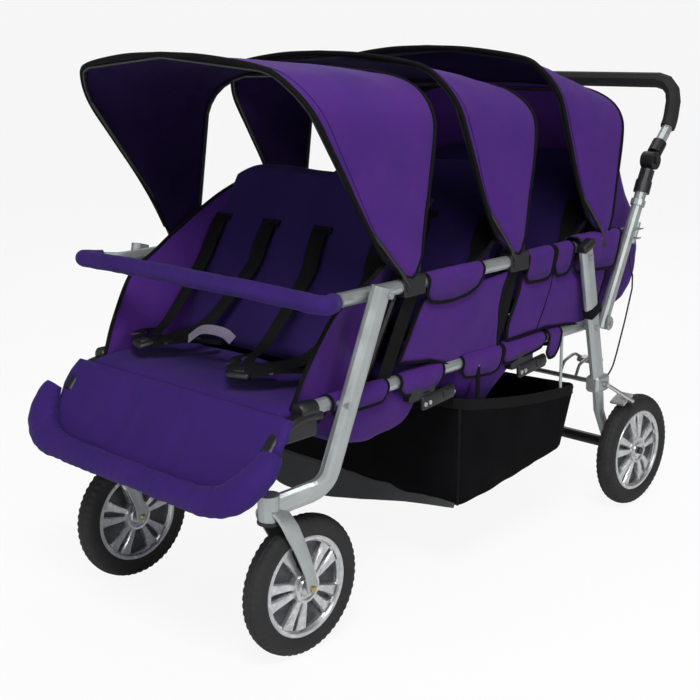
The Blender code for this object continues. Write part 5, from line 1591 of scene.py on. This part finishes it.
# %% Tyre
TREAD_BLOCKS = 56
TYRE_HALF = (
    (0.0165, 0.0995), (0.0190, 0.1030), (0.0208, 0.1100), (0.0214, 0.1185), (0.0206, 0.1265),
    (0.0180, 0.1325), (0.0140, 0.1362), (0.0098, 0.1384), (0.0072, 0.1374), (0.0056, 0.1392), (0.0, 0.1400),
)
TYRE_SEAT = ((-0.0150, 0.0975), (0.0150, 0.0975))


def tyre_mesh(centre, steps=224):
    profile = [*TYRE_HALF, *((-x, r) for x, r in reversed(TYRE_HALF[:-1])), *TYRE_SEAT]
    rows = []
    for k, turn in enumerate(angles(steps)):
        cut = 0.0019 if (k * TREAD_BLOCKS / steps) % 1.0 >= 0.5 else 0.0
        ring = []
        for x, r in profile:
            r -= cut if 0.0090 < abs(x) < 0.0200 and r > 0.125 else 0.0
            ring.append(centre + Vector((x, math.cos(turn) * r, math.sin(turn) * r)))
        rows.append(ring)
    return welded(lofted([*rows, rows[0]], loop=True))


# %% Rim
SPOKE_COUNT = 5
SPOKE_SECTION = (
    (1, -0.72), (1, 0.72), (0.72, 1), (-0.72, 1), (-1, 0.72), (-1, -0.72), (-0.72, -1), (0.72, -1),
)


def spoke_mesh(centre, turn, side):
    """One arm of a pair, from the hub to the barrel."""
    rows = []
    for k in range(9):
        t = k / 8
        reach = mix(0.0165, 0.0935, t)
        angle = turn + side * mix(0.24, 0.185, t)
        wide = mix(0.0085, 0.0250, t ** 0.9) + 0.008 * max(0, t - 0.8) / 0.2
        deep = mix(0.0165, 0.0115, t)
        ahead = Vector((0, math.cos(angle), math.sin(angle)))
        across = Vector((0, -math.sin(angle), math.cos(angle)))
        lean = across * side * mix(0.0, 0.0015, t)
        middle = centre + ahead * reach + lean
        rows.append([middle + across * a * wide / 2 + Vector((b * deep, 0, 0)) for a, b in SPOKE_SECTION])
    return lofted(rows, loop=True, caps=True)


RIM_TURNINGS = (
    (((-0.0168, 0.1018), (-0.0175, 0.0985), (-0.0160, 0.0955), (-0.0120, 0.0925), (-0.0100, 0.0885),
      (0.0100, 0.0885), (0.0120, 0.0925), (0.0160, 0.0955), (0.0175, 0.0985), (0.0168, 0.1018)), 120),
    (((-0.0150, 0.0905), (-0.0178, 0.0930), (-0.0182, 0.0985), (-0.0150, 0.1000)), 120),
    (((-0.0140, 0.0262), (-0.0188, 0.0268), (-0.0192, 0.0310), (-0.0140, 0.0322)), 72),
    (((0.0150, 0.0905), (0.0178, 0.0930), (0.0182, 0.0985), (0.0150, 0.1000)), 120),
    (((0.0140, 0.0262), (0.0188, 0.0268), (0.0192, 0.0310), (0.0140, 0.0322)), 72),
    (((-0.0150, 0.0062), (-0.0150, 0.0330), (0.0150, 0.0330), (0.0150, 0.0062)), 72),
    (((-0.0195, 0.0062), (-0.0195, 0.0165), (-0.0165, 0.0190), (0.0165, 0.0190), (0.0195, 0.0165),
      (0.0195, 0.0062)), 60),
)
# A thin dark disc between hub and barrel, behind the spokes: painted shade seen through the wheel.
SHADE_WEB = ((-0.0016, 0.030), (-0.0016, 0.0895), (0.0016, 0.0895), (0.0016, 0.030))


def rim_mesh(centre, phase):
    """The barrel, its lips, the hub's rings and the spokes as one casting."""
    parts = [turned(profile, centre, steps, closed=True) for profile, steps in RIM_TURNINGS]
    for spoke in angles(SPOKE_COUNT):
        parts += [spoke_mesh(centre, phase + spoke, side) for side in (-1, 1)]
    return joined(parts)


# %% Four wheels
BOLT_OUT = {"front": 0.034, "rear": 0.0215}
BOLT_HEAD = ((-0.004, 0.0070), (0.0030, 0.0070), (0.0050, 0.0050), (0.0052, 0.0010))
PHASES = {"front_left": 0.35, "front_right": 0.62, "rear_left": 0.1, "rear_right": 0.30}
for place_name, phase in PHASES.items():
    end, side = place_name.split("_")
    low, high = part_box(f"tyre_{place_name}")
    centre = (low + high) / 2
    body = f"{end}_wheel_{side}"
    rubber, cast = tyre_mesh(centre), rim_mesh(centre, phase)
    piece(f"wheel_tyre_{place_name}", rubber, tyre, body, f"tyre_{place_name}", angle=32)
    piece(f"wheel_rim_{place_name}", cast, rim_silver, body, f"rim_{place_name}", angle=35)
    piece(f"wheel_web_{place_name}", turned(SHADE_WEB, centre, 120, True), painted_shade_grey, body, angle=35)
    bolts = []
    for out in (-1, 1):
        head = [(out * along, radius) for along, radius in BOLT_HEAD]
        bolts.append(turned(head, centre + Vector((out * BOLT_OUT[end], 0, 0)), 6))
    holder = f"caster_{side}" if end == "front" else "rear_legs"
    piece(f"axle_bolts_{place_name}", joined(bolts), brass, holder, angle=25)
print("wheels", len(PHASES))


# %% [markdown]
# ## Forks
#
# Each caster's fork is one bent band of silver steel: up from the axle, over the tyre and down the other
# side. A black bearing ring sits between it and the housing. A bevelled curve would keep one width, so the
# band is drawn from sections that widen upward.

# %% Forks
FORK_LEG = ((0.0305, 0, -0.006), (0.0308, -0.004, 0.030), (0.0315, -0.024, 0.085))
FORK_TOP = (
    (0.0325, -0.560, 0.132), (0.0300, -0.5740, 0.160), (0.0200, -0.5790, 0.1760), (0.0, -0.5800, 0.1790),
)
SWIVEL_Y = -0.5885
BEARING = ((0.0080, 0.2885), (0.0228, 0.2885), (0.0236, 0.2915), (0.0228, 0.2945), (0.0080, 0.2945))
for side, sign in SIDES.items():
    low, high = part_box(f"tyre_front_{side}")
    centre = (low + high) / 2
    half = [(x, centre.y + y, z) for x, y, z in FORK_LEG] + list(FORK_TOP)
    line = [Vector((centre.x + x, y, centre.z + z)) for x, y, z in half]
    line += [Vector((centre.x - x, y, centre.z + z)) for x, y, z in reversed(half[:-1])]
    path = curve(line, 90, 10)
    ups = []
    for p in path:
        rise = max(0.0, (p.z - centre.z - 0.130) / 0.046) * 1.4 + 0.02
        ups.append(Vector(((p.x - centre.x) / 0.0315, 0, rise)).normalized())
    rows = []
    for p, (out_side, high_side) in zip(path, frames(path, ups)):
        drop = min(max((p.z - centre.z) / 0.17, 0), 1)
        width = mix(0.024, 0.040, drop ** 1.2)
        section = [(a, b - 0.0035 * drop * (2 * a / width) ** 2) for a, b in strap_section(width, 0.0050, 4)]
        rows.append([p + out_side * a + high_side * b for a, b in section])
    fork = lofted(rows, loop=True, caps=True)
    piece(f"fork_band_{side}", fork, silver, f"caster_{side}", f"fork_{side}", angle=40)
    rows = []
    for r, z in BEARING:
        rows.append([Vector((centre.x + math.cos(a) * r, SWIVEL_Y + math.sin(a) * r, z)) for a in angles(48)])
    ring = lofted(rows, loop=True, caps=True)
    piece(f"bearing_ring_{side}", ring, black_plastic, f"caster_{side}")
print("forks")


# %% [markdown]
# ## Black plastic and webbing on the frame
#
# Hinge covers, bands and end caps are moulded in black. Bright bolt heads stand on the hinges, and one
# Geometry Nodes tree places them all.

# %% Bolt heads
BOLTS, bolts_in, bolts_on = cylinders_on_points(
    "bolt_heads", {"Radius": 0.0048, "Height": 0.0034}, 18, "Radius", "Height"
)
BOLTS.links.new(bolts_in.outputs["Geometry"], bolts_on.inputs["Points"])
bolts_on.inputs["Rotation"].default_value = (0, math.pi / 2, 0)


def bolted(name, spots, body, radius=0.0048):
    mesh = bpy.data.meshes.new("spots")
    mesh.from_pydata([tuple(p) for p in spots], [], [])
    heads = on_tree(BOLTS, mesh, {"Radius": radius, "Material": zinc})
    heads.materials.clear()
    return piece(name, heads, zinc, body, angle=30)


# %% Hinge covers, bands and caps
HINGE_ARM = (
    (-0.500, 0.486), (-0.530, 0.489), (-0.560, 0.487), (-0.588, 0.477), (-0.610, 0.461), (-0.628, 0.442),
)
HINGE_PLATES = (-0.170, 0.150)
COLLAR = ((-0.5495, 0.0010), (-0.5495, 0.0150), (-0.5465, 0.0172), (-0.5105, 0.0172), (-0.5065, 0.0150))
PLATE_BOLTS = (-0.044, -0.030, 0.043)
PLATE_LEAN = 0.09
ARM_BOLTS = ((-0.602, 0.461), (-0.620, 0.446), (-0.512, 0.487))
POST_LEAN, POST_OUT, POST_Y = 0.405, 0.0355, 0.2750
POST_TILT = math.atan(POST_LEAN)
HANDLE_AXIS = Vector((0, 0.5655 - 0.4135, 0.863 - 0.50)).normalized()


def post_spot(sign, z):
    """A place on the rear post's middle line."""
    return Vector((sign * side_x(z, POST_OUT), POST_Y + POST_LEAN * (0.700 - z), z))


for side, sign in SIDES.items():
    path = curve([(sign * 0.3090, y, z) for y, z in HINGE_ARM], 50)
    arm = swept(path, [(b, a) for a, b in strap_section(0.031, 0.018, 4)], up=(sign, 0, 0))
    collar = []
    for y, r in COLLAR:
        middle = Vector((sign * LOWER_X, y, LOWER_Z))
        collar.append([middle + Vector((math.cos(t), 0, math.sin(t))) * r for t in (*angles(24), math.tau)])
    piece(f"hinge_arm_{side}", joined([arm, lofted(collar)]), black_plastic, "lower_frame")
    spots = [Vector((sign * 0.3185, y, z)) for y, z in ARM_BOLTS]
    plates = []
    for middle in HINGE_PLATES:
        plates.append(box_mesh((sign * 0.3160, middle, 0.447), (0.011, 0.100, 0.030), 0, PLATE_LEAN, 0.005))
        raised = (sign * 0.3200, middle + 0.030, 0.452)
        plates.append(box_mesh(raised, (0.010, 0.034, 0.020), 0, PLATE_LEAN, 0.004))
        spots += [Vector((sign * 0.3226, middle + dy, 0.446 + dy * PLATE_LEAN)) for dy in PLATE_BOLTS]
    piece(f"hinge_plates_{side}", joined(plates), black_plastic, "lower_frame")
    bolted(f"hinge_bolts_{side}", spots, "lower_frame", 0.0046)
    cap = box_mesh(post_spot(sign, 0.7020), (0.0250, 0.0440, 0.0180), 0, POST_TILT, 0.005)
    band = box_mesh(post_spot(sign, 0.5430), (0.0245, 0.0440, 0.0240), 0, POST_TILT, 0.004)
    piece(f"post_cap_{side}", cap, black_plastic, "rear_legs")
    piece(f"post_band_{side}", band, webbing, "rear_legs")
    end = Vector((sign * 0.3395, 0.5480, 0.8160))
    ring = swept([end - HANDLE_AXIS * 0.028, end], round_section(0.0190, 28))
    piece(f"handle_collar_{side}", ring, black_plastic, "handle", angle=40)
print("hinges")


# %% [markdown]
# ## Surfaces for the bare frame
#
# What is left of the CAD model keeps its shape and takes a finished surface by its slot in the record.

# %% Finishes for the CAD nodes
for obj in nodes.values():
    for place in obj.material_slots:
        slot = place.material.name.split(".")[0] if place.material else "silver"
        place.material = LOOKS.get(slot, LOOKS["silver"])[0]
    obj.data.shade_smooth()
    obj.data.set_sharp_from_angle(angle=math.radians(35))
print("finished", len(nodes), "CAD nodes")


# %% [markdown]
# ## Studio
#
# A pale bowl of a floor runs up behind the stroller, so no edge shows. Large soft lights stand in front,
# to the right, above and behind, as in a catalogue cut-out. The background is white to the camera and to
# what passes through glass, and a dim grey to everything else. The white comes from the kind of ray and
# not from more light, so colours stay as written.

# %% Floor
FLOOR_GLOW = 0.90
FLOOR_GREY = (0.86, 0.86, 0.86)
FLOOR_REACH, FLOOR_BEND, FLOOR_SIDES = 8.0, 4.0, 96


def bowl():
    profile = [(2.0, 0.0), (5.0, 0.0), (FLOOR_REACH, 0.0)]
    for a in angles(40)[1:11]:
        profile.append((FLOOR_REACH + FLOOR_BEND * math.sin(a), FLOOR_BEND * (1 - math.cos(a))))
    profile.append((FLOOR_REACH + FLOOR_BEND, 9.0))
    mesh = bpy.data.meshes.new("floor")
    with editing(mesh) as made:
        rings = []
        for reach, height in profile:
            ring = [(reach * math.cos(t), reach * math.sin(t), height) for t in angles(FLOOR_SIDES)]
            rings.append([made.verts.new(p) for p in ring])
        made.faces.new(rings[0])
        for one, two in zip(rings, rings[1:]):
            for k in range(FLOOR_SIDES):
                after = (k + 1) % FLOOR_SIDES
                made.faces.new((one[k], one[after], two[after], two[k]))
        bmesh.ops.recalc_face_normals(made, faces=made.faces)
    mesh.shade_smooth()
    return mesh


def mixed_shader(factor, one, two, output):
    """Links two shaders to an output by a factor."""
    tree = factor.tree
    blended = factor.add("ShaderNodeMixShader", i0=factor, i1=Link(tree, one.outputs[0]), i2=two)
    tree.links.new(blended.socket, tree.nodes[output].inputs["Surface"])


floor_paint, floor_start, floor_shader = shader("pale_floor", FLOOR_GREY, 0.85, Specular_IOR_Level=0.2)
feed(floor_start, floor_shader, colour=tinted(
    floor_start, mottle(floor_start, 0.8), (0.855, 0.855, 0.86), (0.865, 0.865, 0.865)))
glow = floor_start.add("ShaderNodeEmission", Strength=1.0)
shown = floor_start.add("ShaderNodeLightPath", out="Is Camera Ray") * FLOOR_GLOW
mixed_shader(shown, floor_shader, glow, "Material Output")
floor = bpy.data.objects.new("floor", bowl())
floor.data.materials.append(floor_paint)
scene.collection.objects.link(floor)


# %% Lamps
def soft_light(name, place, aim, size, power):
    data = bpy.data.lights.new(name, "AREA")
    data.shape = "DISK"
    data.size = size
    data.energy = power
    lamp = bpy.data.objects.new(name, data)
    lamp.location = place
    lamp.rotation_euler = (Vector(aim) - Vector(place)).to_track_quat("-Z", "Y").to_euler()
    scene.collection.objects.link(lamp)


soft_light("key", (2.1, -2.0, 3.7), (0.0, 0.0, 0.6), 1.6, 120)
soft_light("front", (0.6, -4.2, 1.1), (0.0, -0.2, 0.5), 1.8, 34)
soft_light("side", (3.8, -0.8, 1.8), (0.1, 0.2, 0.5), 1.6, 34)
soft_light("back", (-2.5, 3.5, 2.6), (0, 0, 0.6), 2.6, 26)
soft_light("top", (0.0, 0.8, 4.4), (0.0, 0.0, 0.6), 2.4, 44)


# %% World
world = bpy.data.worlds.new("studio")
scene.world = world
world.use_nodes = True
sky = Link(world.node_tree)
dim = world.node_tree.nodes["Background"]
dim.inputs["Color"].default_value = (0.92, 0.95, 1.0, 1)
dim.inputs["Strength"].default_value = 0.20
white = sky.add("ShaderNodeBackground", Color=(1, 1, 1, 1), Strength=1.0)
by_camera = sky.add("ShaderNodeLightPath", out="Is Camera Ray")
through_glass = sky.add("ShaderNodeLightPath", out="Is Transmission Ray")
mixed_shader(1 - (1 - by_camera) * (1 - through_glass), dim, white, "World Output")
scene.view_settings.view_transform = "Standard"


# %% [markdown]
# ## Camera
#
# The camera was fitted to the photograph: 2.98 m away, 44 degrees round to the right and 14.5 degrees up,
# rolled by less than a degree.

# %% Camera
CAMERA_PLACE = (1.8442, -1.9981, 1.1592)
AZIMUTH, ELEVATION, ROLL = math.radians(44.15), math.radians(14.49), math.radians(-0.73)
ahead = Vector((
    -math.sin(AZIMUTH) * math.cos(ELEVATION), math.cos(AZIMUTH) * math.cos(ELEVATION), -math.sin(ELEVATION)
))
level = Vector((math.cos(AZIMUTH), math.sin(AZIMUTH), 0))
above = level.cross(ahead)
right = level * math.cos(ROLL) + above * math.sin(ROLL)
up = above * math.cos(ROLL) - level * math.sin(ROLL)
camera_data = bpy.data.cameras.new("camera")
camera_data.lens = 63.2
camera_data.sensor_width = 36.0
camera_data.shift_x = 0.0013
camera_data.shift_y = 0.0010
camera = bpy.data.objects.new("camera", camera_data)
turn = Matrix((right, up, -ahead)).transposed()
camera.matrix_world = Matrix.Translation(CAMERA_PLACE) @ turn.to_4x4()
scene.collection.objects.link(camera)
scene.camera = camera
